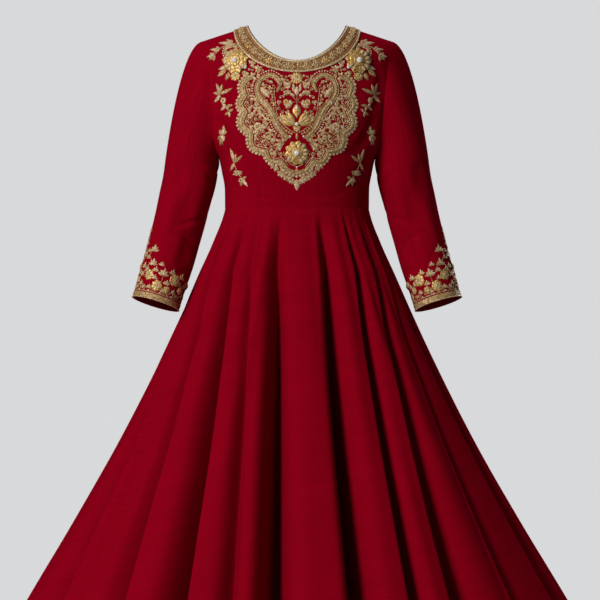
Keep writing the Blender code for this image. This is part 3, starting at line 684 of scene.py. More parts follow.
def arm_sections():
    """Centre, lateral, forward and along directions, and half sizes, of fine arm rings."""
    table = np.array(ARM)
    count = len(table)
    at = np.linspace(0.0, count - 1.0, ARM_FINE + 1)
    k = np.minimum(at.astype(int), count - 2)
    t = (at - k)[:, None]
    a = table[np.maximum(k - 1, 0)]
    b = table[k]
    c = table[k + 1]
    d = table[np.minimum(k + 2, count - 1)]
    values = 0.5 * (2 * b + (c - a) * t + (2 * a - 5 * b + 4 * c - d) * t ** 2
                    + (3 * b - a - 3 * c + d) * t ** 3)
    centre = values[:, :3]
    along = heading(centre)
    lateral = unit(np.array([1.0, 0.0, 0.0]) - along * along[:, :1])
    forward = np.cross(lateral, along)
    forward = forward * np.where(forward[:, 1:2] > 0, -1.0, 1.0)
    return centre, lateral, forward, along, values[:, ARM_WIDE], values[:, ARM_DEEP]


# Directions outwards, to the side of the panel and up in which the cap leaves the armhole
LEAVE_MIDDLE = (0.93, 0.10, -0.34)
LEAVE_LOW = (0.30, 0.05, -0.95)
START_OUT = (0.6, 0.0, 0.0)


def sleeve_starts():
    """Places round the armhole where the cap starts, and the directions in which it leaves."""
    half = AROUND // 2
    params = {side: even_params(lambda t: armhole(side, t),
                                lambda x, z: bodice(side, x, down_at(x, z)), half)
              for side in (-1, 1)}
    starts = np.zeros((AROUND, 3))
    leaves = np.zeros((AROUND, 3))
    for i in range(AROUND):
        side = -1 if i <= half else 1
        t = params[side][i if i <= half else AROUND - i]
        x, z = armhole(side, t)
        down = down_at(x, z)
        point = bodice(side, x, down)
        normal = bodice_normal(side, x, down)
        step = 0.002
        hx, hz = armhole(side, np.array([max(0.0, t - step), min(1.0, t + step)]))
        ends = bodice(side, hx, down_at(hx, hz))
        curve = unit(ends[1] - ends[0])
        if i in (0, half):
            normal = unit(normal * np.array([1.0, 0.0, 1.0]))
            curve = np.array([0.0, -1.0 if i == 0 else 1.0, 0.0])
        tangent = unit(np.cross(normal, curve) * -side)
        height = (point[2] - UNDERARM) / (-TIP_DROP - UNDERARM)
        turned = np.array([1.0, side, 1.0])
        leave = mix(LEAVE_MIDDLE * turned, tangent, smooth((height - 0.55) / 0.40))
        leave = unit(mix(LEAVE_LOW * turned, leave, smooth(height / 0.35)))
        away = unit(tangent + START_OUT)
        starts[i] = point + away * GAP
        leaves[i] = leave
    return starts, leaves


SLEEVE_CREASES = (
    # place along the arm in metres below the underarm, place round it in turns, half length in
    # turns, half width, slant, height
    (0.004, 0.42, 0.16, 0.010, 0.020, -0.0030),
    (0.030, 0.36, 0.14, 0.009, 0.030, -0.0022),
    (0.118, 0.30, 0.17, 0.010, -0.030, -0.0026),
    (0.138, 0.22, 0.16, 0.009, -0.020, 0.0016),
    (0.152, 0.34, 0.15, 0.008, 0.015, -0.0024),
    (0.186, 0.18, 0.14, 0.009, 0.030, -0.0015),
    (0.210, 0.36, 0.15, 0.009, -0.020, -0.0018),
    (0.098, 0.62, 0.18, 0.010, 0.020, -0.0024),
    (0.140, 0.70, 0.16, 0.010, -0.020, -0.0022),
    (0.180, 0.78, 0.15, 0.010, 0.030, -0.0016),
    (0.060, 0.80, 0.20, 0.013, 0.010, -0.0016),
    (0.236, 0.70, 0.12, 0.008, 0.015, -0.0012),
    (0.030, 0.325, 0.080, 0.100, 0.000, 0.0036),
    (0.045, 0.165, 0.075, 0.065, 0.000, -0.0040),
    (0.105, 0.255, 0.085, 0.065, 0.000, -0.0050),
    (0.172, 0.335, 0.085, 0.070, 0.000, -0.0050),
    (0.130, 0.150, 0.080, 0.120, 0.000, 0.0020),
)


def sleeve_lift(place, turn, sign, length):
    """Height of the creases at a distance below the underarm and a place round the sleeve."""
    place, turn = np.broadcast_arrays(place, turn)
    lift = np.zeros(place.shape)
    swap = 0.0 if sign > 0 else 0.03
    for low, middle, reach, width, slant, height in SLEEVE_CREASES:
        gap = (turn - middle - swap + 0.5) % 1.0 - 0.5
        across = place - low - slant * gap / reach - 0.012 * (gap / reach) ** 2
        lift = lift + height * bump(gap / reach) * bump(across / width)
    return lift * smooth((length - place) / 0.03) * smooth(place / 0.02)


def sleeve_grid(sign):
    """Fine points of a sleeve, on the wearer's left, and the weave's place at each of them."""
    starts, leaves = sleeve_starts()
    centre, lateral, forward, along, wide, deep = arm_sections()
    turn = np.arange(AROUND) / AROUND
    ca = np.cos(2 * pi * turn)[None, :, None]
    sa = np.sin(2 * pi * turn)[None, :, None]
    run = run_of(centre)
    lift = sleeve_lift(run[:, None], turn[None, :], sign, run[-1])
    w = wide[:, None, None] + lift[..., None]
    d = deep[:, None, None] + lift[..., None]
    arm = centre[:, None] + lateral[:, None] * w * ca + forward[:, None] * d * sa
    t = (np.arange(CAP_FINE) / CAP_FINE)[:, None, None] ** CAP_SPACING
    end = arm[0][None]
    reach = np.linalg.norm(end - starts[None], axis=-1, keepdims=True)
    cap = (starts[None] * (1 + 2 * t) * (1 - t) ** 2 + end * t * t * (3 - 2 * t)
           + leaves[None] * reach * CAP_START * t * (1 - t) ** 2
           - along[0] * reach * CAP_END * t * t * (1 - t))
    grid = np.concatenate([cap, arm])
    grid = np.concatenate([grid, grid[:, :1]], axis=1)
    step = np.linalg.norm(np.diff(grid, axis=0), axis=-1)
    down = np.concatenate([np.zeros((1, AROUND + 1)), np.cumsum(step, axis=0)])
    around = np.linspace(0.0, 1.0, AROUND + 1)[None, :] * SLEEVE_ROUND
    uv = np.stack([np.broadcast_to(around, down.shape) + SLEEVE_UV, -down], axis=-1)
    return grid, uv


def build_sleeves():
    pieces = []
    for sign, name, node in ((1, "left_sleeve", "sleeve_left"),
                             (-1, "right_sleeve", "sleeve_right")):
        grid, uv = sleeve_grid(sign)
        grid = mirrored(grid, sign)
        sleeve = grid_piece(name, grid[::-1], uv[::-1], CRIMSON, flip=sign > 0, closed=True)
        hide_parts(node)
        pieces.append(sleeve)
    return pieces


# Skirt

MM = 0.001
SEAM_SHUT = 0.00003        # what is left open between bodice and skirt
SKIRT_COLUMNS = 18
SKIRT_ROWS = 96
WAIST_ROUND = 0.73         # metres of cloth round the waist and, along the flutes, round the hem
HEM_ROUND = 8.5
CLOTH_DROP = 1.12          # metres of cloth in a metre of height


def fold_direction(k, z):
    turns, index = divmod(k, len(FOLDS))
    row = FOLDS[index]
    top = 1.0 / SKIRT_HALF(FOLD_TOP)
    low = 1.0 / SKIRT_HALF(FOLD_LOW)
    share = np.minimum(1.0, (1.0 / SKIRT_HALF(z) - low) / (top - low))
    return np.radians(mix(row[LOW_DEG], row[TOP_DEG], share) + 360.0 * turns)


def skirt_points(place, z):
    """Points of the skirt for columns of fold positions and rows of heights."""
    z = z[:, None]
    k = np.floor(place).astype(int)
    s = place - k
    directions = np.stack([fold_direction(i, z[:, 0]) for i in range(len(FOLDS) + 2)], axis=1)
    middle = (directions[:, k] + directions[:, k + 1]) / 2
    lean = FOLD_LEAN * np.clip(np.sin(2 * middle) / sin(radians(2 * LEAN_FULL)), -1.0, 1.0)
    share = s - FOLD_PINCH / (2 * pi) * np.sin(2 * pi * s)
    share = share + lean / (2 * pi) * (1.0 - np.cos(2 * pi * s))
    turn = mix(directions[:, k], directions[:, k + 1], share)
    strengths = np.array([row[STRENGTH] for row in FOLDS] * 2)
    nearer = np.where(s < 0.5, k, k + 1)
    valley = (np.cos(pi * s) ** 2) ** FOLD_POWER * strengths[nearer] * SKIRT_DEPTH(z)
    half = SKIRT_HALF(z)
    c = np.cos(turn)
    n = np.sin(turn)
    deep = np.where(c > 0.0, SKIRT_FRONT(z), SKIRT_BACK(z))
    shape = ring_shape(c, n)
    reach = mix(shape, 1.0, smooth((WAIST - z) / 0.25))
    out = unit(stack(deep * n, -half * c, 0.0 * n))
    points = stack(half * n * reach, -deep * c * reach, z + 0.0 * n)
    return points, out, valley, turn


SKIRT_CREASES = (
    # place between the folds, half width in folds, depth in mm, height where it starts
    (10.86, 0.08, 20.0, -0.40),
    (9.62, 0.08, 20.0, -0.45),
    (11.90, 0.08, 6.0, -0.50),
    (12.45, 0.10, 4.0, -0.55),
    (16.60, 0.10, 5.0, -0.50),
    (18.55, 0.10, 6.0, -0.55),
    (20.40, 0.10, 6.0, -0.60),
    (22.62, 0.09, 6.0, -0.50),
    (25.40, 0.10, 7.0, -0.55),
    (1.42, 0.10, 7.0, -0.50),
    (3.60, 0.09, 6.0, -0.60),
    (5.45, 0.10, 6.0, -0.50),
    (7.58, 0.10, 7.0, -0.55),
)


def skirt_creases(place, z):
    """Depth of the soft troughs between and beside the folds."""
    depth = 0.0
    for middle, half, deep, top in SKIRT_CREASES:
        grow = smooth((top - z) / 0.40)
        depth = depth + deep * MM * grow * np.exp(-(((place - middle) / half) ** 2))
    return depth


RIPPLES = (
    # height, whether it runs to the hem, waves round, their sway, sways round, tilt, phase
    (0.0010, 0, 31.0, 0.8, 5.0, 0.0, 0.0),
    (0.0008, 0, 53.0, 0.0, 0.0, 0.0, 1.7),
    (0.0016, 1, 19.0, 2.1, 3.0, 3.0, 0.0),
    (0.0008, 1, 41.0, 0.0, 0.0, -5.0, 1.3),
)


def skirt_ripple(turn, z):
    """Small waves of the gathered cloth, in metres outwards."""
    fades = (smooth((WAIST - z) / 0.06) * smooth((z - WAIST + 0.42) / 0.30),
             smooth((WAIST - z) / 0.35))
    ripple = 0.0
    for height, long, waves, sway, sways, tilt, phase in RIPPLES:
        angle = turn * waves + sway * np.sin(turn * sways) + z * tilt + phase
        ripple = ripple + height * fades[long] * np.sin(angle)
    return ripple


def build_skirt():
    columns = SKIRT_COLUMNS * len(FOLDS)
    place = np.arange(columns + 1) / SKIRT_COLUMNS
    place[-1] = len(FOLDS)
    t = np.linspace(0.0, 1.0, SKIRT_ROWS + 1)
    z = mix(SKIRT_TOP, HEM, 0.35 * t + 0.65 * t ** 1.5)
    points, out, valley, turn = skirt_points(place, z)
    zz = z[:, None]
    valley = valley + skirt_creases(place, zz)
    points = points - out * (valley - skirt_ripple(turn, zz))[..., None]
    points[0, :, 2] = WAIST - SEAM_SHUT
    points[-1, :, 2] = HEM
    width = mix(WAIST_ROUND, HEM_ROUND, (WAIST - zz) / (WAIST - HEM))
    uv = stack(np.linspace(0.0, 1.0, columns + 1)[None] * width, zz * CLOTH_DROP, 0.0)[..., :2]
    skirt = grid_piece("skirt_cloth", points[::-1], uv[::-1], CRIMSON, closed=True)
    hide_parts(*[f"kali_{i:02d}" for i in range(1, 13)])
    return skirt


# Embroidery: small domed sheets of thread, laid on the cloth and joined in one mesh a material

LIFT = 0.00015            # clearance between the cloth and the thread on it


class Stitches:
    """Small sheets of one thread or metal on one part of the garment, joined in one mesh."""

    def __init__(self, name, material, surface=None):
        self.name = name
        self.material = material
        self.surface = surface
        self.points = []
        self.faces = []
        self.count = 0

    def add(self, u, v, h, closed=False):
        u, v, h = np.broadcast_arrays(u, v, h)
        rows, columns = u.shape
        points = self.surface(u, v, h)
        index = self.count + np.arange(rows * columns).reshape(rows, columns)
        if closed:
            index = np.concatenate([index, index[:, :1]], axis=1)
        quads = quads_of(index)
        i = rows // 2
        j = columns // 2
        across = points[i, j] - points[i, j - 1]
        along = points[i, j] - points[i - 1, j]
        out = self.surface(u[i, j], v[i, j], h[i, j] + MM) - points[i, j]
        if np.dot(np.cross(across, along), out) < 0.0:
            quads = quads[..., ::-1]
        self.points.append(points.reshape(-1, 3))
        self.faces.append(quads.reshape(-1, 4))
        self.count += rows * columns

    def finish(self, *nodes):
        mesh = quad_mesh(self.name, np.concatenate(self.points), np.concatenate(self.faces),
                         self.material)
        piece = new_object(self.name, mesh)
        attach(piece, "suit")
        if nodes:
            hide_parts(*nodes)


def lay_on(surface, *pieces):
    """Put what is sewn next in each of the pieces on a surface."""
    for piece in pieces:
        piece.surface = surface


def leaf(to, x, z, angle, length, width, rise=0.0012, blunt=0.9, bend=0.0, base=LIFT):
    """Leaf or petal from its foot, with a sunk middle vein. angle is in degrees from outwards."""
    t = np.linspace(0.0, 1.0, 8)[:, None]
    s = np.linspace(-1.0, 1.0, 5)[None, :]
    half = width / 2 * np.sin(pi * t ** blunt) ** 0.8
    across = s * half + bend * length * t * t
    a = radians(angle)
    u = x + t * length * cos(a) - across * sin(a)
    v = z + t * length * sin(a) + across * cos(a)
    vein = 1.0 - 0.4 * (np.abs(s) < 0.1)
    h = base + rise * (1.0 - s * s) ** 0.7 * np.sin(pi * np.clip(t, 0.06, 0.94)) ** 0.4 * vein
    to.add(u, v, h)


def ring_of_petals(to, x, z, radius, count, share=0.9, inner=0.18, turn=0.0, rise=0.0016,
                   blunt=1.5, base=LIFT):
    for k in range(count):
        angle = turn + 360.0 * k / count
        a = radians(angle)
        width = 2 * pi * radius / count * share
        leaf(to, x + radius * inner * cos(a), z + radius * inner * sin(a), angle,
             radius * (1.0 - inner), width, rise, blunt, 0.0, base)


def dome(to, x, z, radius, height, base=LIFT, around=14):
    """Round bead or boss, a little more than half of a ball."""
    polar = np.linspace(0.02, 0.56, 6)[:, None] * pi
    a = np.arange(around)[None, :] * 2 * pi / around
    u = x + radius * np.sin(polar) * np.cos(a)
    v = z + radius * np.sin(polar) * np.sin(a)
    to.add(u, v, base + height * (0.2 + 0.8 * np.cos(polar)), closed=True)


def cord(to, path, width, rise, base=LIFT, pitch=0.0034, twist=0.22, columns=5, taper=0.0):
    """Twisted cord along a path of plan points."""
    path = np.asarray(path, float)
    along = heading(path)
    run = run_of(path)
    s = np.linspace(-1.0, 1.0, columns)[None, :]
    ends = np.minimum(run, run[-1] - run)[:, None]
    full = np.clip(ends / taper, 0.15, 1.0) if taper else 1.0
    half = width / 2 * full
    u = path[:, :1] - along[:, 1:] * s * half
    v = path[:, 1:] + along[:, :1] * s * half
    ridge = 1.0 + twist * np.sin(2 * pi * run[:, None] / pitch + 1.6 * s)
    to.add(u, v, base + rise * np.sqrt(1.0 - s * s * 0.98) * ridge * full)


def curve_through(points, step=0.0012):
    """Smooth plan path through a few points, at even steps."""
    p = np.asarray(points, float)
    p = np.concatenate([2 * p[:1] - p[1:2], p, 2 * p[-1:] - p[-2:-1]])
    path = []
    for a, b, c, d in zip(p, p[1:], p[2:], p[3:]):
        t = np.linspace(0.0, 1.0, 24, endpoint=False)[:, None]
        path.append(0.5 * (2 * b + (c - a) * t + (2 * a - 5 * b + 4 * c - d) * t ** 2
                           + (3 * b - a - 3 * c + d) * t ** 3))
    path = np.concatenate(path + [p[-2:-1]])
    return even_path(path, step)


def even_path(path, step):
    run = run_of(path)
    want = np.linspace(0.0, run[-1], max(4, int(run[-1] / step)))
    return np.stack([np.interp(want, run, path[:, 0]), np.interp(want, run, path[:, 1])], axis=1)


def curl(x, z, radius, turns, start, hand):
    """Spiral path that runs in from its rim. start is in degrees, hand is 1 or -1."""
    t = np.linspace(0.0, 1.0, max(10, int(turns * 16)))
    a = radians(start) + hand * 2 * pi * turns * t
    r = radius * (1.0 - 0.82 * t)
    return np.stack([x + r * np.cos(a), z + r * np.sin(a)], axis=1)


def offset_path(path, distance):
    along = heading(path)
    return path + np.stack([-along[:, 1], along[:, 0]], axis=1) * distance


def fringe(to, path, side, spacing, length, width, base=LIFT):
    """Row of small petals that stand out on one side of a path."""
    spots = even_path(path, spacing)
    along = np.gradient(spots, axis=0)
    for (x, z), (ax, az) in zip(spots, along):
        angle = degrees(atan2(az, ax)) + 90.0 * side
        leaf(to, x, z, angle, length, width, 0.0009, 1.5, 0.0, base)


def vine(to, path, spacing, length):
    """Row of small leaves in pairs along a path."""
    path = even_path(path, spacing)
    along = np.gradient(path, axis=0)
    for (x, z), (dx, dz) in zip(path[1::2], along[1::2]):
        ahead = degrees(atan2(dz, dx))
        for hand in (1, -1):
            leaf(to, x, z, ahead + hand * 42, length, length * 0.42, 0.0010, 0.9, 0.0)


def yoke_surface(sign):
    """The front of the bodice, by x towards one side and by height."""
    def surface(u, v, h):
        x = sign * np.asarray(u, float)
        return creased_bodice(-1, x, down_at(x, v), height=h)
    return surface


# Scalloped border: x and z of each cusp, and how far the scallop after it bulges
BORDER_Z, BULGE = 1, 2
BORDER_HALF = 0.0056
BORDER_TIP_HALF = 0.0040
TEETH_OUT = 0.0012         # how far the border's beads stand out from its edge
TEETH_STEP = 0.0064
TEETH_RADIUS = 0.0028
BORDER_NARROW_Z = -0.190   # height below which the border narrows to its tip
BORDER = (
    (0.0845, -0.1040, 0.0090),
    (0.0940, -0.1380, 0.0080),
    (0.0936, -0.1685, 0.0115),
    (0.0830, -0.2065, 0.0130),
    (0.0555, -0.2400, 0.0090),
    (0.0278, -0.2580, 0.0050),
    (0.0000, -0.2790, 0.0000),
)
# Paisley ribbon: x, z and half width from the hook of the head to the end of the tail
PAISLEY = (
    (0.0356, -0.1335, 0.0022),
    (0.0305, -0.1165, 0.0042),
    (0.0460, -0.1020, 0.0046),
    (0.0655, -0.1105, 0.0046),
    (0.0715, -0.1290, 0.0046),
    (0.0640, -0.1475, 0.0048),
    (0.0515, -0.1620, 0.0050),
    (0.0430, -0.1775, 0.0052),
    (0.0345, -0.1970, 0.0050),
    (0.0205, -0.2120, 0.0042),
    (0.0110, -0.2155, 0.0020),
)
RIBBON_TOP = ON_CLOTH + 0.0012


def border_half():
    """Middle line of the border on one side, from the shoulder to the middle."""
    path = []
    for a, b in zip(BORDER, BORDER[1:]):
        start = np.array(a[:2])
        end = np.array(b[:2])
        along = (end - start) / np.linalg.norm(end - start)
        out = np.array([-along[1], along[0]])
        t = np.linspace(0.0, 1.0, 26, endpoint=False)[:, None]
        path.append(start + (end - start) * t + out * a[BULGE] * np.sin(pi * t))
    path.append(np.array([BORDER[-1][:2]]))
    return np.concatenate(path)


def flat_ribbon(to, path, half, top, ribs=0.0030):
    """Satin-stitched band with a raised cord along each edge and a groove beside each cord."""
    along = heading(path)
    run = run_of(path)
    s = np.array([-1.0, -0.98, -0.88, -0.74, -0.66, -0.58, -0.40, -0.10, 0.20, 0.44, 0.54, 0.62,
                  0.72, 0.86, 0.98, 1.0])[None, :]
    edge = np.array([0.0, 0.50, 0.85, 0.50, 0.02, 0.55, 0.90, 1.00, 0.90, 0.55, 0.02, 0.50,
                     0.85, 0.80, 0.45, 0.0])[None, :]
    half = np.broadcast_to(half, (len(path),))[:, None]
    u = path[:, :1] - along[:, 1:] * s * half
    v = path[:, 1:] + along[:, :1] * s * half
    middle = np.abs(s) < 0.56
    slant = run[:, None] / ribs + 1.1 * s
    rib = 0.00030 * np.sin(2 * pi * slant) * middle + 0.00016 * np.sin(4 * pi * slant) * ~middle
    to.add(u, v, np.maximum(0.0, top * edge + rib * (edge > 0.3)) + LIFT)


SPRAYS = (
    # x and z of the foot and width of the leaves in mm, then direction in degrees and length
    (118, -40, 6.5, ((12, 25), (42, 15), (-22, 17), (-60, 11), (80, 9))),
    (141, -50, 5.5, ((8, 18), (-28, 12), (50, 9))),
    (150, -60, 5.5, ((-5, 15), (-42, 14), (-80, 12), (25, 10))),
    (92, -94, 5.0, ((-60, 9), (-110, 9), (-20, 8))),
    (82, -80, 5.0, ((60, 8), (110, 8), (170, 9), (-130, 8))),
    (71, -90, 5.0, ((100, 8), (150, 10), (-150, 9), (45, 8), (-60, 7))),
    (79, -103, 5.0, ((70, 8), (120, 8), (-60, 8), (-120, 9), (0, 7))),
    (141, -133, 6.5, ((76, 22), (105, 19), (23, 13), (-57, 17), (163, 26))),
    (128, -156, 5.5, ((-29, 12), (-132, 9), (176, 13), (35, 9))),
    (122, -166, 5.0, ((-94, 10), (-40, 10), (155, 9))),
    (137, -207, 5.5, ((100, 17), (62, 11), (-80, 18), (-112, 12), (-42, 10), (135, 10))),
    (114, -257, 5.5, ((75, 26), (96, 16), (146, 20), (-68, 15))),
    (107, -275, 5.0, ((-15, 10), (172, 9), (-150, 9), (20, 8))),
    (99, -287, 5.5, ((-123, 17), (-82, 13), (160, 9), (-30, 8))),
    (12, -123, 5.0, ((38, 15), (12, 11), (72, 10), (-25, 8))),
    (28, -113, 4.0, ((55, 8), (120, 7), (-10, 7))),
    (14, -137, 5.0, ((35, 11), (72, 9), (0, 9), (108, 7))),
    (10, -158, 6.5, ((16, 15), (46, 14), (-14, 12), (76, 11))),
    (24, -186, 5.5, ((72, 16), (44, 12), (100, 11), (15, 8))),
    (13, -172, 4.0, ((20, 9), (55, 8), (-20, 7))),
    (33, -232, 5.0, ((100, 9), (158, 9), (32, 9), (-120, 8), (-60, 8))),
    (22, -222, 4.5, ((60, 8), (130, 8), (0, 7))),
    (43, -246, 4.5, ((110, 8), (60, 7), (170, 8))),
    (11, -283, 5.5, ((-60, 12), (-98, 11), (-20, 9), (60, 8))),
    (24, -275, 5.5, ((-72, 13), (-32, 11), (-112, 10), (40, 7))),
    (35, -267, 4.5, ((-55, 10), (-10, 8), (-100, 8))),
    (6, -289, 5.0, ((-38, 11), (-72, 10), (10, 9), (-100, 9))),
    (18, -284, 4.5, ((-45, 9), (-85, 9), (0, 8), (-130, 8))),
    (28, -277, 4.5, ((-40, 9), (-80, 9), (5, 8), (-125, 8))),
    (42, -264, 4.0, ((-50, 8), (-5, 7), (-95, 8))),
    (0, -293, 4.6, ((-62, 10), (-28, 9), (-118, 10), (-152, 9))),
    (77, -147, 4.5, ((150, 10), (100, 8), (-160, 9), (30, 8))),
    (70, -163, 4.5, ((20, 9), (70, 8), (-40, 9), (150, 8), (-110, 9))),
    (62, -172, 4.5, ((0, 10), (45, 8), (-60, 9), (-120, 9))),
    (76, -173, 4.0, ((30, 8), (100, 8), (-30, 7))),
    (54, -185, 4.5, ((60, 9), (10, 9), (-50, 10), (115, 7))),
    (60, -199, 4.5, ((80, 9), (30, 9), (-30, 8), (140, 8), (-90, 8))),
    (45, -206, 4.5, ((60, 9), (-10, 10), (-60, 9), (120, 7))),
    (75, -208, 4.5, ((110, 9), (60, 8), (170, 8), (-110, 8))),
    (38, -219, 4.5, ((10, 9), (60, 8), (-50, 8), (-160, 8))),
    (57, -216, 4.0, ((80, 8), (30, 8), (140, 7))),
    (83, -163, 4.0, ((110, 8), (50, 7), (-70, 7))),
    (84, -198, 4.0, ((140, 8), (90, 7), (-150, 7))),
    (58, -106, 3.2, ((200, 6), (250, 6), (300, 6))),
    (45, -113, 3.2, ((0, 6), (-50, 6), (-100, 6))),
    (62, -120, 3.2, ((120, 6), (170, 6), (220, 6))),
    (47, -125, 3.2, ((60, 6), (0, 6), (-50, 7))),
    (49, -137, 3.4, ((70, 7), (120, 7), (20, 6))),
)
CURLS = (
    # x, z and radius in mm, turns, start in degrees, hand
    (88, -117, 5.5, 1.3, 200, 1),
    (84, -131, 5.0, 1.3, 20, -1),
    (88, -152, 6.5, 1.4, 90, 1),
    (79, -158, 4.0, 1.2, 0, -1),
    (88, -184, 7.0, 1.4, 120, 1),
    (76, -187, 4.5, 1.2, 180, -1),
    (70, -219, 6.0, 1.4, 150, 1),
    (60, -228, 4.5, 1.2, 60, -1),
    (66, -182, 4.0, 1.2, 300, 1),
    (50, -176, 3.6, 1.2, 200, -1),
    (66, -207, 4.2, 1.2, 30, 1),
    (51, -197, 4.0, 1.2, 90, -1),
    (46, -232, 4.5, 1.2, 120, 1),
    (27, -213, 3.4, 1.2, 90, 1),
    (29, -244, 4.0, 1.2, 0, -1),
    (23, -116, 3.6, 1.2, 0, 1),
    (27, -128, 3.6, 1.2, 90, 1),
    (29, -143, 3.4, 1.2, 180, -1),
    (8, -114, 3.0, 1.1, 270, -1),
    (32, -162, 3.6, 1.2, 200, 1),
    (25, -168, 3.2, 1.2, 30, -1),
    (16, -181, 3.2, 1.1, 90, 1),
    (53, -113, 3.6, 1.2, 0, 1),
    (55, -122, 3.4, 1.2, 180, -1),
    (54, -131, 3.0, 1.1, 270, 1),
    (46, -146, 2.8, 1.1, 90, 1),
    (70, -78, 3.6, 1.2, 0, 1),
    (62, -92, 3.6, 1.2, 90, -1),
    (88, -104, 3.4, 1.2, 90, 1),
    (17, -270, 3.4, 1.2, 90, -1),
    (8, -279, 3.2, 1.2, 0, 1),
)
STEMS = (
    # plan points of each stem in mm
    ((108, -40), (118, -42), (132, -44), (141, -50), (150, -60)),
    ((141, -133), (136, -143), (129, -154), (122, -166), (120, -172)),
    ((137, -190), (137, -207), (134, -226)),
    ((118, -240), (114, -257), (107, -275), (99, -287), (94, -296)),
    ((0, -151), (6, -143), (14, -137), (19, -133)),
    ((0, -151), (8, -152), (15, -150)),
    ((0, -120), (0, -131), (0, -151), (0, -163)),
    ((0, -190), (12, -186), (22, -178), (27, -168)),
    ((88, -111), (82, -124), (88, -140), (80, -150), (86, -166), (78, -176), (84, -192),
     (76, -204), (66, -214), (56, -224), (42, -232), (34, -240), (30, -250)),
    ((66, -166), (60, -178), (56, -190), (50, -202), (42, -212), (32, -222)),
)
BLOOMS = (
    # x, z and radius in mm, petals, whether it is metal
    (0, -107.5, 11.5, 12, 1),
    (111, -101.5, 9.5, 8, 1),
    (133, -145, 5.5, 6, 0),
    (108, -276, 5.0, 6, 0),
    (101, -289, 4.2, 6, 0),
    (70, -195, 7.5, 5, 0),
    (84, -176, 4.5, 6, 0),
    (72, -154, 4.2, 6, 0),
    (50, -215, 4.5, 6, 0),
    (55, -150, 3.6, 6, 0),
    (19.5, -151, 5.0, 7, 1),
    (20, -134, 4.0, 6, 0),
    (28, -264, 4.4, 6, 0),
)
PEARLS = (
    # x, z and radius in mm
    (0, -163, 3.3),
    (0, -192, 3.6),
    (92.6, -86.4, 3.2),
    (12, -213.5, 2.0),
    (36, -192, 1.6),
    (62, -153, 1.6),
    (0, -268, 1.8),
)
OVAL = ((38, -123), (40.5, -131), (38, -154), (35.6, -172), (27.6, -188), (14, -201), (0.8, -208))
FIELD_STEP = 0.0058       # distance between the small leaves that fill the ground
FIELD_ROW = 0.87          # distance between their rows, in steps
FIELD_TOP = -0.085        # height of the first row
FIELD_TURN = 137.5        # degrees from one leaf's direction to the next
FIELD_WIDE = 0.100
FIELD_HIGH = 0.200
FIELD_NECK = 0.006        # clearances of those leaves
FIELD_BORDER = 0.0125
FIELD_RIBBON = 0.0078
FIELD_CORD = 0.0042
FIELD_SPRAY = 0.0050
FIELD_KEPT = (
    # x, z and radius in mm of the places they leave free
    (0, -182, 37),
    (0, -150, 22),
    (0, -125, 16),
    (0, -243, 27),
)
# Directions of the pale petals that lie on one side of each raised flower: a painted highlight
HIGHLIGHT_PETALS = (-60, -34, -8, 18, 44, 70, -122, -146)      # directions in degrees


def big_flower(metal, pale, pearls, x, z, radius, base, points, pearl):
    """Raised metal-thread flower: pointed leaves, two rings of cupped petals, pale petals on one
    side as a painted highlight, and a bead.
    """
    ring_of_petals(metal, x, z, radius, points, 0.95, 0.30, 8.0, 0.0022, 1.0, base)
    ring_of_petals(metal, x, z, radius * 0.74, 8, 1.05, 0.14, 20.0, 0.0026, 1.7, base + 0.0012)
    # pale petals on one side only: a painted highlight on the metal petals
    for angle in HIGHLIGHT_PETALS:
        a = radians(angle)
        leaf(pale, x + radius * 0.44 * cos(a), z + radius * 0.44 * sin(a), angle,
             radius * 0.42, radius * 0.24, 0.0018, 1.6, 0.0, base + 0.0026)
    ring_of_petals(metal, x, z, radius * 0.44, 7, 1.05, 0.14, 50.0, 0.0016, 1.7, base + 0.0036)
    dome(pearls, x, z, pearl, pearl * 0.9, base + 0.0042, 18)


def build_yoke():
    thread = Stitches("yoke_thread", THREAD)
    pale = Stitches("yoke_pale_thread", PALE_AND_HIGHLIGHT)
    metal = Stitches("yoke_metal", METAL)
    pearls = Stitches("yoke_pearls", PEARL)
    for sign in (1, -1):
        lay_on(yoke_surface(sign), thread, pale, metal, pearls)
        for x, z, width, leaves in SPRAYS:
            for n, (angle, length) in enumerate(leaves):
                to = pale if n % 3 == 0 else thread
                leaf(to, x * MM, z * MM, angle, length * MM, width * MM, 0.0013, 0.9,
                     0.06 if n % 2 else -0.06)
            dome(thread, x * MM, z * MM, 1.3 * MM, 1.3 * MM, around=8)
        for x, z, radius, turns, start, hand in CURLS:
            path = curl(x * MM, z * MM, radius * MM, turns, start, hand)
            cord(thread, path, 1.5 * MM, 0.9 * MM, taper=0.003)
            dome(pale, x * MM, z * MM, 1.2 * MM, 1.2 * MM, around=8)
        for points in STEMS:
            path = curve_through(np.array(points) * MM)
            cord(thread, path, 1.3 * MM, 0.8 * MM, taper=0.004)
        for x, z, radius, petals, shiny in BLOOMS:
            if x == 0 and sign < 0:
                continue
            to = metal if shiny else pale
            ring_of_petals(to, x * MM, z * MM, radius * MM, petals, base=0.0005)
            if radius > 8.0:
                ring_of_petals(pale, x * MM, z * MM, radius * 0.62 * MM, petals, 0.9, 0.2,
                               180.0 / petals, 0.0016, 1.4, 0.0014)
            dome(metal, x * MM, z * MM, radius * 0.26 * MM, 1.9 * MM, 0.0012)
        for x, z, radius in PEARLS:
            if x or sign > 0:
                dome(pearls, x * MM, z * MM, radius * MM, radius * 1.2 * MM, 0.0010)
        build_lotus(metal, pale, sign)
        build_field(thread, pale)
        build_hook(thread, pale)
        build_sides(thread, pale)
    for piece in (thread, pale, metal, pearls):
        piece.finish()


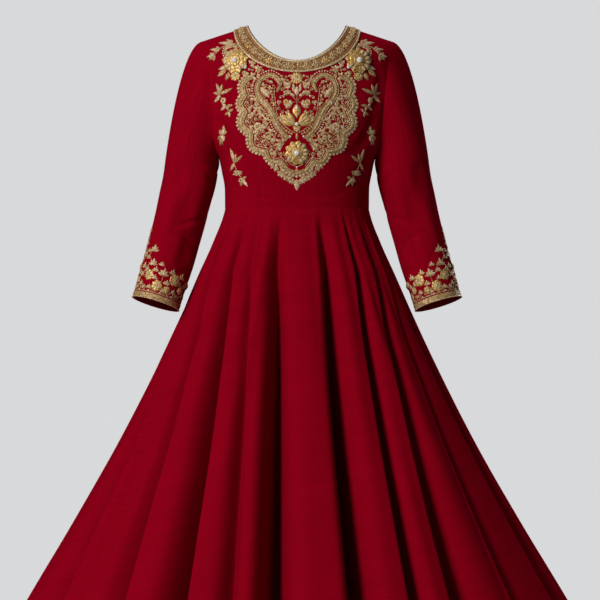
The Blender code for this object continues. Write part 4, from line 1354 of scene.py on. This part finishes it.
def build_lotus(metal, pale, sign):
    """Flower in the middle of the yoke, its bud and the leaves below its bead."""
    for angle, length, width in ((8, 27, 9), (30, 33, 11), (54, 27, 10)):
        leaf(metal, 2 * MM, -0.193, angle, length * MM, width * MM, 0.0026, 1.1, 0.10, 0.0006)
    for angle, length in ((19, 24), (42, 26)):
        leaf(pale, 3 * MM, -0.192, angle, length * MM, 3.2 * MM, 0.0018, 1.3, 0.10, 0.0022)
    for angle, length, width in ((-20, 8, 5), (-55, 9, 5)):
        leaf(metal, 0.0, -0.196, angle, length * MM, width * MM, 0.0016, 1.2)
    if sign > 0:
        leaf(metal, 0.0, -0.181, 90, 0.026, 0.015, 0.0026, 1.15, 0.0, 0.0008)
        leaf(pale, 0.0, -0.140, 90, 0.017, 0.009, 0.0020, 1.0, 0.0, 0.0006)
        leaf(metal, 0.0, -0.219, 90, 0.012, 0.0045)
        leaf(pale, 0.0, -0.196, -90, 0.010, 0.006, 0.0018, 1.3)
        leaf(pale, 0.0, -0.289, -90, 0.0205, 0.0095, 0.0020, 0.9)
        leaf(metal, 0.0, -0.284, 90, 0.014, 0.007, 0.0016, 1.2)
    for x, z, angle in ((3.5, -0.133, 60), (4.5, -0.127, 75), (3.5, -0.141, 35)):
        leaf(pale, x * MM, z, angle, 0.010, 0.0045)


def inside(points, outline):
    """Whether plan points lie in a closed outline."""
    x = points[:, :1]
    z = points[:, 1:]
    after = np.roll(outline, -1, axis=0)
    rise = after[:, 1] - outline[:, 1]
    rise = np.where(rise == 0.0, 1e-9, rise)
    spans = (outline[:, 1] > z) != (after[:, 1] > z)
    cut = outline[:, 0] + (z - outline[:, 1]) * (after[:, 0] - outline[:, 0]) / rise
    return (spans & (x < cut)).sum(axis=1) % 2 == 1


def away(points, path):
    """Distance of each plan point from a path."""
    return np.hypot(points[:, :1] - path[:, 0], points[:, 1:] - path[:, 1]).min(axis=1)


def build_field(thread, pale):
    """Cord round the middle oval, and small leaves that fill the ground between the motifs."""
    oval = curve_through(np.array(OVAL) * MM)
    cord(thread, oval, 1.7 * MM, 1.0 * MM, taper=0.004)
    fringe(thread, offset_path(oval[:-6], 1.4 * MM), 1, 0.0046, 0.0050, 0.0036)
    fine = np.linspace(0.0, 0.62, 40)
    x, down = band_spot(-1, fine, 1.0)
    neck = np.stack([x, bodice(-1, x, down)[..., 2] - FIELD_NECK], axis=1)
    outline = np.concatenate([border_half(), neck])
    row = FIELD_STEP * FIELD_ROW
    spots = np.array([(FIELD_STEP * (i + 0.5 * (j % 2) + 0.3), FIELD_TOP - row * j)
                      for j in range(int(FIELD_HIGH / row))
                      for i in range(int(FIELD_WIDE / FIELD_STEP))])
    free = inside(spots, outline)
    free &= away(spots, border_half()) > FIELD_BORDER
    free &= away(spots, curve_through(np.array(PAISLEY)[:, :2])) > FIELD_RIBBON
    free &= away(spots, oval) > FIELD_CORD
    for x, z, radius in FIELD_KEPT:
        free &= np.hypot(spots[:, 0] - x * MM, spots[:, 1] - z * MM) > radius * MM
    for x, z, radius in [row[:3] for row in CURLS + BLOOMS + PEARLS]:
        free &= np.hypot(spots[:, 0] - x * MM, spots[:, 1] - z * MM) > (radius + 1.6) * MM
    for x, z in [row[:2] for row in SPRAYS]:
        free &= np.hypot(spots[:, 0] - x * MM, spots[:, 1] - z * MM) > FIELD_SPRAY
    for k, (x, z) in enumerate(spots[free]):
        turn = FIELD_TURN * k
        to = pale if k % 3 == 0 else thread
        if k % 4 == 3:
            ring_of_petals(to, x, z, 0.0024, 5, rise=0.0010)
            continue
        for lean, length in ((-52, 0.0040), (0, 0.0050), (52, 0.0040)):
            leaf(to, x, z, turn + lean, length, 0.0024, 0.0011)


HOOK = ((124, -66), (130, -58), (128, -49), (120, -44.5), (112, -46), (108, -52), (112, -56))
HOOK_LEAVES = (
    # x and z of the foot in mm, direction, length and width in mm, rise in mm, whether it is pale
    (128, -88, -38, 20, 9, 1.8, 0),
    (126, -83, -15, 17, 7, 1.8, 1),
    (122, -94, -65, 16, 8, 1.8, 0),
    (98, -93, -120, 14, 7, 1.6, 0),
    (95, -72, 150, 12, 6, 1.6, 1),
)


def build_hook(thread, pale):
    """Serrated scroll over each raised flower, and the leaves round the flower."""
    path = curve_through(np.array(HOOK) * MM)
    cord(thread, path, 5.2 * MM, 1.3 * MM, columns=7, taper=0.012)
    fringe(pale, offset_path(path, -2.2 * MM), -1, 0.0036, 0.0040, 0.0034)
    for x, z, angle, length, width, rise, is_pale in HOOK_LEAVES:
        to = pale if is_pale else thread
        leaf(to, x * MM, z * MM, angle, length * MM, width * MM, rise * MM)


def build_sides(thread, pale):
    """Lines that follow the paisley and the border: inner cords, teeth and the eye."""
    paisley = np.array(PAISLEY)
    path = curve_through(paisley[:, :2])
    fringe(pale, offset_path(path[12:-20], 6.0 * MM), 1, 0.0042, 0.0042, 0.0032)
    cord(thread, offset_path(path[50:], -6.6 * MM), 1.2 * MM, 0.9 * MM, taper=0.004)
    leaf(pale, 0.0650, -0.1230, -128, 0.026, 0.0085, 0.0022)
    cord(thread, curl(0.0502, -0.2222, 0.0078, 1.0, 0, 1), 1.2 * MM, 0.8 * MM)
    arc = curve_through(np.array(((0, -267), (12, -262), (21, -250), (24, -240))) * MM)
    cord(thread, arc, 1.6 * MM, 1.0 * MM, taper=0.003)


def build_border():
    """The scalloped ribbon in one piece across the front, its beads, and the two paisleys."""
    thread = Stitches("border_ribbon", THREAD)
    half = border_half()
    whole = np.concatenate([half[:-1] * np.array([-1.0, 1.0]), half[::-1]])
    lay_on(yoke_surface(1), thread)
    narrow = smooth((BORDER_NARROW_Z - whole[:, 1]) / (BORDER_NARROW_Z - BORDER[-1][BORDER_Z]))
    halves = mix(BORDER_HALF, BORDER_TIP_HALF, narrow)
    flat_ribbon(thread, whole, halves, RIBBON_TOP)
    thread.finish("yoke_border")
    pale = Stitches("border_teeth", PALE_AND_HIGHLIGHT, yoke_surface(1))
    edge = even_path(offset_path(whole, -halves[:, None] - TEETH_OUT), TEETH_STEP)
    for x, z in edge:
        dome(pale, x, z, TEETH_RADIUS, 0.0017, around=10)
    side_halves = halves[len(half) - 1:][::-1]
    for sign in (1, -1):
        lay_on(yoke_surface(sign), pale)
        line = offset_path(half, -side_halves[:, None] - 0.0024)
        cord(pale, line[6:-14], 1.2 * MM, 0.9 * MM, taper=0.004)
        inner = offset_path(half, -side_halves[:, None] - 0.0050)[8:-20]
        vine(pale, inner, 0.0062, 0.0058)
    pale.finish()
    for sign, name, node in ((1, "paisley_ribbon_left", "paisley_left"),
                             (-1, "paisley_ribbon_right", "paisley_right")):
        ribbon = Stitches(name, THREAD, yoke_surface(sign))
        table = np.array(PAISLEY)
        path = curve_through(table[:, :2], 0.0010)
        run = run_of(path)
        spots = [np.argmin(np.hypot(*(path - row[:2]).T)) for row in table]
        halves = np.interp(run, run[spots], table[:, 2])
        flat_ribbon(ribbon, path, halves, RIBBON_TOP, 0.0026)
        ribbon.finish(node)


RAISED = (
    # node, side, x, z, radius, pointed leaves, pearl radius
    ("flower_upper_left", 1, 0.1110, -0.0740, 0.0240, 9, 0.0054),
    ("flower_upper_right", -1, 0.1110, -0.0740, 0.0240, 9, 0.0054),
    ("flower_lower", 1, 0.0, -0.2430, 0.0225, 10, 0.0054),
)


def build_raised():
    for node, sign, x, z, radius, points, pearl in RAISED:
        surface = yoke_surface(sign)
        metal = Stitches("raised_" + node, METAL, surface)
        # the pale petals on one side of the flower, a painted highlight
        pale = Stitches("sparkle_" + node, PALE_AND_HIGHLIGHT, surface)
        pearls = Stitches("pearl_" + node, PEARL, surface)
        big_flower(metal, pale, pearls, x, z, radius, 0.0022, points, pearl)
        metal.finish(node)
        pale.finish()
        pearls.finish()


# Neck band

BAND_LENGTH_STEPS = 90
BAND_WIDTH_STEPS = 8
BAND_CENTRE = 0.0005       # clearance of its halves from the middle of the garment
BAND_UV = 3.0              # where its cloth starts in the weave
BAND_SPACING = 0.0172      # from one flower to the next
BAND_FLOWER = 0.0058
BAND_SCROLL = 0.0030


def band_spot(side, t, share):
    """x and distance down the cloth on the neck band."""
    depth = NECK_DEPTH_FRONT if side < 0 else NECK_DEPTH_BACK
    outer_depth = BAND_DEPTH_FRONT if side < 0 else BAND_DEPTH_BACK
    inner_x, inner_z = neckline(depth, t)
    angle = t * pi / 2
    outer_x = BAND_HALF * np.sin(angle)
    end = crest(BAND_HALF)
    outer_z = end - (outer_depth + end) * np.maximum(0.0, np.cos(angle)) ** BAND_POWER
    x = mix(inner_x, outer_x, share)
    down = mix(down_at(inner_x, inner_z), down_at(outer_x, outer_z), share)
    return x, down


class BandSurface:
    """Half of the neck band, by distance from the centre and across from its middle line."""

    def __init__(self, side, sign):
        self.side = side
        self.sign = sign
        self.fine = fine = np.linspace(0.0, 1.0, 400)
        self.run = run_of(bodice(side, *band_spot(side, fine, 0.5)))
        inner = bodice(side, *band_spot(side, fine, 0.0))
        outer = bodice(side, *band_spot(side, fine, 1.0))
        self.width = np.linalg.norm(outer - inner, axis=1)
        self.length = self.run[-1]

    def __call__(self, u, v, h):
        t = np.interp(u, self.run, self.fine)
        width = np.interp(t, self.fine, self.width)
        x, down = band_spot(self.side, t, np.clip(0.5 + v / width, -0.1, 1.1))
        point = bodice(self.side, x, down)
        point = point + bodice_normal(self.side, x, down) * np.asarray(h)[..., None]
        return mirrored(point, self.sign)


def build_neck_band():
    top = ON_CLOTH + BAND_THICK
    grounds = {}
    for side, sign in ((-1, 1), (-1, -1), (1, 1), (1, -1)):
        surface = BandSurface(side, sign)
        along = np.linspace(0.0, surface.length, BAND_LENGTH_STEPS + 1)
        t = np.interp(along, surface.run, surface.fine)
        share = np.linspace(0.0, 1.0, BAND_WIDTH_STEPS + 1)
        x, down = band_spot(side, t[:, None], share[None, :])
        points = bodice(side, x, down) + bodice_normal(side, x, down) * top
        near = np.abs(points[..., 1]) < BAND_CENTRE
        points[..., 1] = np.where(near, side * BAND_CENTRE, points[..., 1])
        grounds[side, sign] = (surface, mirrored(points, sign))
    front = np.concatenate([grounds[-1, -1][1][:0:-1], grounds[-1, 1][1]])
    pieces = [(front, "neck_band_cloth_front", "neck_band_front", False)]
    for sign, name, node in ((1, "neck_band_cloth_left", "neck_band_back_left"),
                             (-1, "neck_band_cloth_right", "neck_band_back_right")):
        back = grounds[1, sign][1].copy()
        back[0, :, 0] = sign * BAND_CENTRE
        pieces.append((back, name, node, sign > 0))
    for points, name, node, flip in pieces:
        points = points.transpose(1, 0, 2)[::-1]
        rows, columns = points.shape[:2]
        uv = np.stack(np.meshgrid(np.arange(columns) * 0.0018, np.arange(rows) * 0.003), axis=-1)
        band = grid_piece(name, points, uv + BAND_UV, BAND_CLOTH, BAND_THICK, flip=flip)
        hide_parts(node)
        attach(band, "suit")
    thread = Stitches("neck_band_thread", THREAD)
    pale = Stitches("neck_band_pale_thread", PALE_AND_HIGHLIGHT)
    metal = Stitches("neck_band_metal", METAL)
    for surface, _ in grounds.values():
        lay_on(surface, thread, pale, metal)
        build_band_pattern(thread, pale, metal, surface, top)
    for piece in (thread, pale, metal):
        piece.finish()


def build_band_pattern(thread, pale, metal, surface, top):
    """Cords along both edges, with small flowers between scrolls."""
    fine = np.linspace(0.0, surface.length, 130)
    width = np.interp(np.interp(fine, surface.run, surface.fine), surface.fine, surface.width)
    for share, wide, to in ((-0.42, 3.8, pale), (-0.30, 1.3, thread), (0.33, 1.3, thread),
                            (0.43, 3.2, pale)):
        path = np.stack([fine, width * share], axis=1)
        cord(to, path, wide * MM, 0.9 * MM, top, columns=7 if wide > 2 else 5)
    for k in range(int(surface.length / BAND_SPACING) + 1):
        a = k * BAND_SPACING
        lean = 1 if k % 2 else -1
        if k or surface.sign > 0:
            ring_of_petals(metal if k % 3 == 0 else thread, a, 0.0006, BAND_FLOWER, 6,
                           base=top + 0.0003, rise=0.0014)
            dome(pale, a, 0.0006, 0.0016, 0.0020, top + 0.0012, 8)
            for angle in (60, 120, -60, -120):
                leaf(pale, a + 0.0022 * cos(radians(angle)), 0.0045 * sin(radians(angle)),
                     angle, 0.0042, 0.0026, 0.0009, 0.9, 0.0, top)
        if a + BAND_SPACING > surface.length:
            continue
        middle = a + BAND_SPACING / 2
        for hand in (1, -1):
            path = curl(middle, lean * hand * BAND_SCROLL, BAND_SCROLL, 1.2, 90 * hand, lean * hand)
            cord(thread, path, 1.3 * MM, 0.8 * MM, top)
            leaf(pale, middle + hand * 0.0006, -lean * hand * 0.0006, 90 - hand * 60, 0.0062,
                 0.0028, 0.0009, 0.9, 0.0, top)
            leaf(thread, a + 0.0056, hand * 0.0030, hand * 50, 0.0050, 0.0026, 0.0009, 0.9, 0.0,
                 top)


# Cuffs

CUFF_GARLAND = (
    # distance round from the outer edge and height over the hem in mm, kind, size in mm
    (68, 27, "flower", 10.5),
    (47, 43, "flower", 10.0),
    (98, 46, "flower", 11.5),
    (20, 33, "flower", 7.0),
    (88, 25, "flower", 6.0),
    (116, 32, "flower", 7.0),
    (10, 58, "flower", 6.0),
    (130, 48, "flower", 6.5),
    (43, 95, "spray", 14.0),
    (49, 68, "spray", 13.0),
    (74, 55, "spray", 14.0),
    (8, 118, "spray", 14.0),
    (22, 82, "spray", 11.0),
    (7, 98, "spray", 12.0),
    (29, 60, "spray", 10.0),
    (84, 38, "spray", 9.0),
    (112, 58, "spray", 11.0),
    (128, 26, "spray", 9.0),
    (102, 26, "spray", 8.0),
    (33, 28, "spray", 9.0),
    (54, 24, "spray", 8.0),
    (4, 44, "spray", 9.0),
    (30, 44, "spray", 8.0),
    (60, 42, "spray", 8.0),
    (81, 22, "spray", 7.0),
    (14, 70, "spray", 8.0),
    (34, 76, "spray", 8.0),
    (5, 82, "spray", 8.0),
    (22, 48, "spray", 9.0),
    (40, 54, "spray", 9.0),
    (14, 92, "spray", 9.0),
    (10, 132, "spray", 11.0),
    (0, 132, "spray", 9.0),
    (58, 56, "spray", 9.0),
    (90, 60, "spray", 10.0),
    (66, 68, "spray", 8.0),
    (110, 44, "spray", 8.0),
    (122, 42, "spray", 8.0),
    (24, 22, "spray", 7.0),
    (42, 22, "spray", 7.0),
    (0, 64, "spray", 8.0),
    (0, 104, "spray", 9.0),
    (30, 90, "spray", 8.0),
    (16, 106, "spray", 8.0),
)
CUFF_STEMS = (
    ((4, 18), (6, 40), (10, 60), (20, 78), (8, 96), (8, 116)),
    ((20, 33), (32, 44), (38, 58), (46, 66), (36, 80), (42, 92)),
    ((68, 27), (74, 38), (74, 52)),
    ((76, 20), (86, 32), (98, 46), (110, 56)),
    ((98, 46), (108, 42), (116, 32), (128, 26)),
)


CUFF_ROUND = 2 * pi * 0.0445       # distance round the sleeve near its hem
CUFF_BEADS = 86
CUFF_CURLS = 24
CUFF_PROFILE = (
    # height over the hem in metres, and share of the ribbon's height
    (0.0000, 0.0), (0.0000, 0.6), (0.0012, 1.0), (0.0022, 0.6), (0.0040, 0.75), (0.0060, 0.8),
    (0.0080, 0.75), (0.0090, 0.6), (0.0102, 1.0), (0.0110, 0.6), (0.0110, 0.0),
)


class SleeveSurface:
    """The sleeve, by distance round from its outer edge and height over the hem."""

    def __init__(self, sign):
        self.sign = sign
        self.sections = arm_sections()
        self.run = run_of(self.sections[0])

    def __call__(self, u, v, h):
        centre, lateral, forward, _, wide, deep = self.sections
        u, v, h = np.broadcast_arrays(np.asarray(u, float), v, h)
        place = self.run[-1] - v
        turn = u / CUFF_ROUND
        lift = sleeve_lift(place, turn, self.sign, self.run[-1]) + h

        def at(values):
            if values.ndim == 1:
                return np.interp(place, self.run, values)
            return np.stack([np.interp(place, self.run, values[:, n]) for n in range(3)], axis=-1)

        a = 2 * pi * turn[..., None]
        point = (at(centre) + at(lateral) * np.cos(a) * (at(wide) + lift)[..., None]
                 + at(forward) * np.sin(a) * (at(deep) + lift)[..., None])
        return mirrored(point, self.sign)


def spray(thread, pale, x, z, size):
    """Fan of five leaves from one foot."""
    for n, angle in enumerate((90, 52, 128, 14, 166)):
        to = pale if n % 2 == 0 else thread
        leaf(to, x, z, angle, size * (1.0 if n == 0 else 0.78), size * 0.34, 0.0012, 0.95)


def build_cuffs():
    for sign, name in ((1, "left"), (-1, "right")):
        surface = SleeveSurface(sign)
        around = np.linspace(0.0, CUFF_ROUND, 121)
        band = Stitches(f"cuff_ribbon_{name}", THREAD, surface)
        top = ON_CLOTH + BAND_THICK
        v, edge = np.array(CUFF_PROFILE).T[:, None]
        rib = 0.00016 * np.sin(around[:, None] / 0.0030 * 2 * pi + 900.0 * v)
        band.add(around[:, None], v, top * edge + rib + LIFT)
        band.finish(f"cuff_band_{name}")
        thread = Stitches(f"cuff_thread_{name}", THREAD, surface)
        pale = Stitches(f"cuff_pale_thread_{name}", PALE_AND_HIGHLIGHT, surface)
        metal = Stitches(f"cuff_metal_{name}", METAL, surface)
        for k in range(CUFF_BEADS):
            dome(pale, CUFF_ROUND * k / CUFF_BEADS, 0.0002, 0.0014, 0.0018, 0.0010, 8)
        cord(pale, np.stack([around, 0 * around + 0.0136], axis=1), 1.3 * MM, 0.9 * MM)
        for k in range(CUFF_CURLS):
            a = CUFF_ROUND * k / CUFF_CURLS
            hand = 1 if k % 2 else -1
            cord(thread, curl(a, 0.0195, 0.0044, 1.3, 270, hand), 1.3 * MM, 0.8 * MM)
            leaf(pale, a + 0.0056, 0.0165, 60 * hand + 30, 0.0060, 0.0030)
        for side in (1, -1):
            for a, b, kind, size in CUFF_GARLAND:
                x, z = side * a * MM, b * MM
                if kind == "spray":
                    spray(thread, pale, x, (b - size / 2) * MM, size * MM)
                    continue
                ring_of_petals(metal, x, z, size * MM, 7, base=0.0004)
                ring_of_petals(pale, x, z, size * 0.6 * MM, 7, 0.8, 0.2, 25.0, 0.0014,
                               1.4, 0.0012)
                dome(metal, x, z, size * 0.24 * MM, 0.0018, 0.0014, 10)
            for points in CUFF_STEMS:
                path = curve_through(np.array(points) * MM * np.array([side, 1.0]))
                cord(thread, path, 1.3 * MM, 0.8 * MM, taper=0.004)
        for piece in (thread, pale, metal):
            piece.finish()


def line_piece(name, points, radius, material, closed=False):
    """Round cord along points in space."""
    curve = bpy.data.curves.new(name, 'CURVE')
    curve.dimensions = '3D'
    curve.bevel_depth = radius
    curve.bevel_resolution = 2
    line = curve.splines.new('POLY')
    line.points.add(len(points) - 1)
    weights = np.ones((len(points), 1))
    line.points.foreach_set("co", np.concatenate([points, weights], axis=1).ravel())
    line.use_cyclic_u = closed
    curve.materials.append(material)
    piece = new_object(name, curve)
    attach(piece, "suit")


def build_piping():
    """Thin dark piping round the neckline."""
    points = []
    fine = np.linspace(0.0, 1.0, 60)
    for side, sign, order in ((-1, 1, 1), (1, 1, -1), (1, -1, 1), (-1, -1, -1)):
        x, down = band_spot(side, fine, 0.0)
        edge = bodice(side, x, down) + bodice_normal(side, x, down) * 0.0006
        points.append(mirrored(edge, sign)[::order][:-1])
    line_piece("neck_piping", np.concatenate(points), 0.0010, PIPING, True)


SEAM_RADIUS = 0.0009
SEAM_SINK = 0.0006
HEM_STITCH = 0.014         # height of the hem's stitching above its edge


def sunk(side, x, z):
    """Points just under the bodice's surface, for the cord that fills a seam."""
    down = down_at(x, z)
    return bodice(side, x, down) - bodice_normal(side, x, down) * SEAM_SINK


def build_seams():
    t = np.linspace(0.0, 1.0, 90)
    for sign, label in ((1, "left"), (-1, "right")):
        hole = np.concatenate([sunk(-1, *armhole(-1, t)), sunk(1, *armhole(1, t))[::-1]])
        line_piece(f"armhole_seam_{label}", mirrored(hole, sign), SEAM_RADIUS, CRIMSON, True)
        x = np.linspace(BAND_HALF + 0.002, TIP_HALF, 40)
        shoulder = stack(x, 0.0, crest(x) - SEAM_SINK)
        line_piece(f"shoulder_seam_{label}", mirrored(shoulder, sign), SEAM_RADIUS, SEAM_THREAD)
        z = np.linspace(UNDERARM, WAIST, 40)
        side = stack(TORSO_HALF(z) - SEAM_SINK, 0.0, z)
        line_piece(f"side_seam_{label}", mirrored(side, sign), SEAM_RADIUS, SEAM_THREAD)
    a = np.linspace(0.0, 2 * pi, 240, endpoint=False)
    c = np.cos(a)
    n = np.sin(a)
    deep = np.where(c > 0.0, TORSO_DEEP[-1](WAIST), TORSO_DEEP[1](WAIST)) - SEAM_SINK
    shape = ring_shape(c, n)
    ring = stack((TORSO_HALF(WAIST) - SEAM_SINK) * n * shape, -deep * c * shape, WAIST + 0.0 * n)
    line_piece("waist_seam", ring, SEAM_RADIUS * 0.8, CRIMSON, True)
    place = np.arange(len(FOLDS) * 24) / 24
    points, out, valley, _ = skirt_points(place, np.array([HEM + HEM_STITCH]))
    hem = (points - out * (valley - 0.0001)[..., None])[0]
    line_piece("hem_stitching", hem, 0.0006, SEAM_THREAD, True)


def dress_zip():
    """Materials of the zip, which keeps the solids of the model."""
    for name, material in (("zip_tape", TAPE), ("zip_slider", METAL), ("zip_pull", METAL)):
        mesh = bpy.data.objects[name].data
        mesh.materials.clear()
        mesh.materials.append(material)


# Light, floor and camera

LIGHTS = (
    # name, place, target, size, power, colour
    ("key", (-2.2, -2.8, 1.1), (0.0, 0.0, -0.62), 1.4, 112.0, (1.0, 0.985, 0.96)),
    ("fill", (2.6, -2.4, 0.3), (0.0, 0.0, -0.6), 2.2, 3.0, (0.97, 0.98, 1.0)),
    ("back", (2.0, 2.8, 0.9), (0.0, 0.0, -0.6), 1.8, 48.0, (1.0, 0.99, 0.97)),
    ("top", (0.0, 0.9, 2.2), (0.0, 0.0, -0.4), 1.6, 16.0, (1.0, 1.0, 1.0)),
)
GLOW = (0.036, 0.037, 0.038, 1.0)          # the world's light, and what the camera sees of it
BACKDROP = (0.690, 0.695, 0.705, 1.0)
FLOOR_RADIUS = 1.7
FLOOR_GAP = 0.0025


def add_area(name, place, target, size, power, colour):
    data = bpy.data.lights.new(name, 'AREA')
    data.shape = 'DISK'
    data.size = size
    data.energy = power
    data.color = colour
    lamp = new_object(name, data)
    lamp.location = place
    lamp.rotation_euler = (Vector(target) - Vector(place)).to_track_quat('-Z', 'Y').to_euler()


def build_studio():
    world = bpy.data.worlds.new("studio")
    world.use_nodes = True
    tree = world.node_tree
    background = tree.nodes["Background"]
    path = tree.nodes.new("ShaderNodeLightPath")
    choose = tree.nodes.new("ShaderNodeMix")
    choose.data_type = 'RGBA'
    choose.inputs[6].default_value = GLOW
    choose.inputs[7].default_value = BACKDROP
    tree.links.new(path.outputs["Is Camera Ray"], choose.inputs[0])
    tree.links.new(choose.outputs[2], background.inputs["Color"])
    bpy.context.scene.world = world
    for light in LIGHTS:
        add_area(*light)
    bpy.ops.mesh.primitive_circle_add(vertices=128, radius=FLOOR_RADIUS, fill_type='NGON',
                                      location=(0.0, 0.0, HEM - FLOOR_GAP))
    floor = bpy.context.object
    floor.name = "floor"
    material, tree, shader = nodes_of("floor_paint")
    place = tree.nodes.new("ShaderNodeTexCoord")
    cloud = noise_node(tree, place.outputs["Object"], None, 2.0, scale=3.0)
    link(tree, ramp(tree, cloud, ((0.3, (0.70, 0.71, 0.72)), (0.7, (0.74, 0.75, 0.76)))),
         shader.inputs["Base Color"])
    put(shader, {"Roughness": 0.7})
    floor.data.materials.append(material)


def build_camera():
    data = bpy.data.cameras.new("camera")
    data.sensor_width = 36.0
    data.lens = 36.0 * CAMERA_AWAY / (PHOTO / PER_METRE)
    data.clip_end = 50.0
    camera = new_object("camera", data)
    camera.location = ((PHOTO / 2 - MIDDLE_X) / PER_METRE, -CAMERA_AWAY,
                       -(PHOTO / 2 - NECK_ROW) / PER_METRE)
    camera.rotation_euler = (pi / 2, 0.0, 0.0)
    bpy.context.scene.camera = camera


bpy.context.scene.view_settings.view_transform = 'Standard'
build_camera()
build_studio()
cloth_pieces = build_bodice() + build_sleeves() + [build_skirt()]
for piece in cloth_pieces:
    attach(piece, "suit")
build_yoke()
build_border()
build_raised()
build_neck_band()
build_cuffs()
build_piping()
build_seams()
dress_zip()
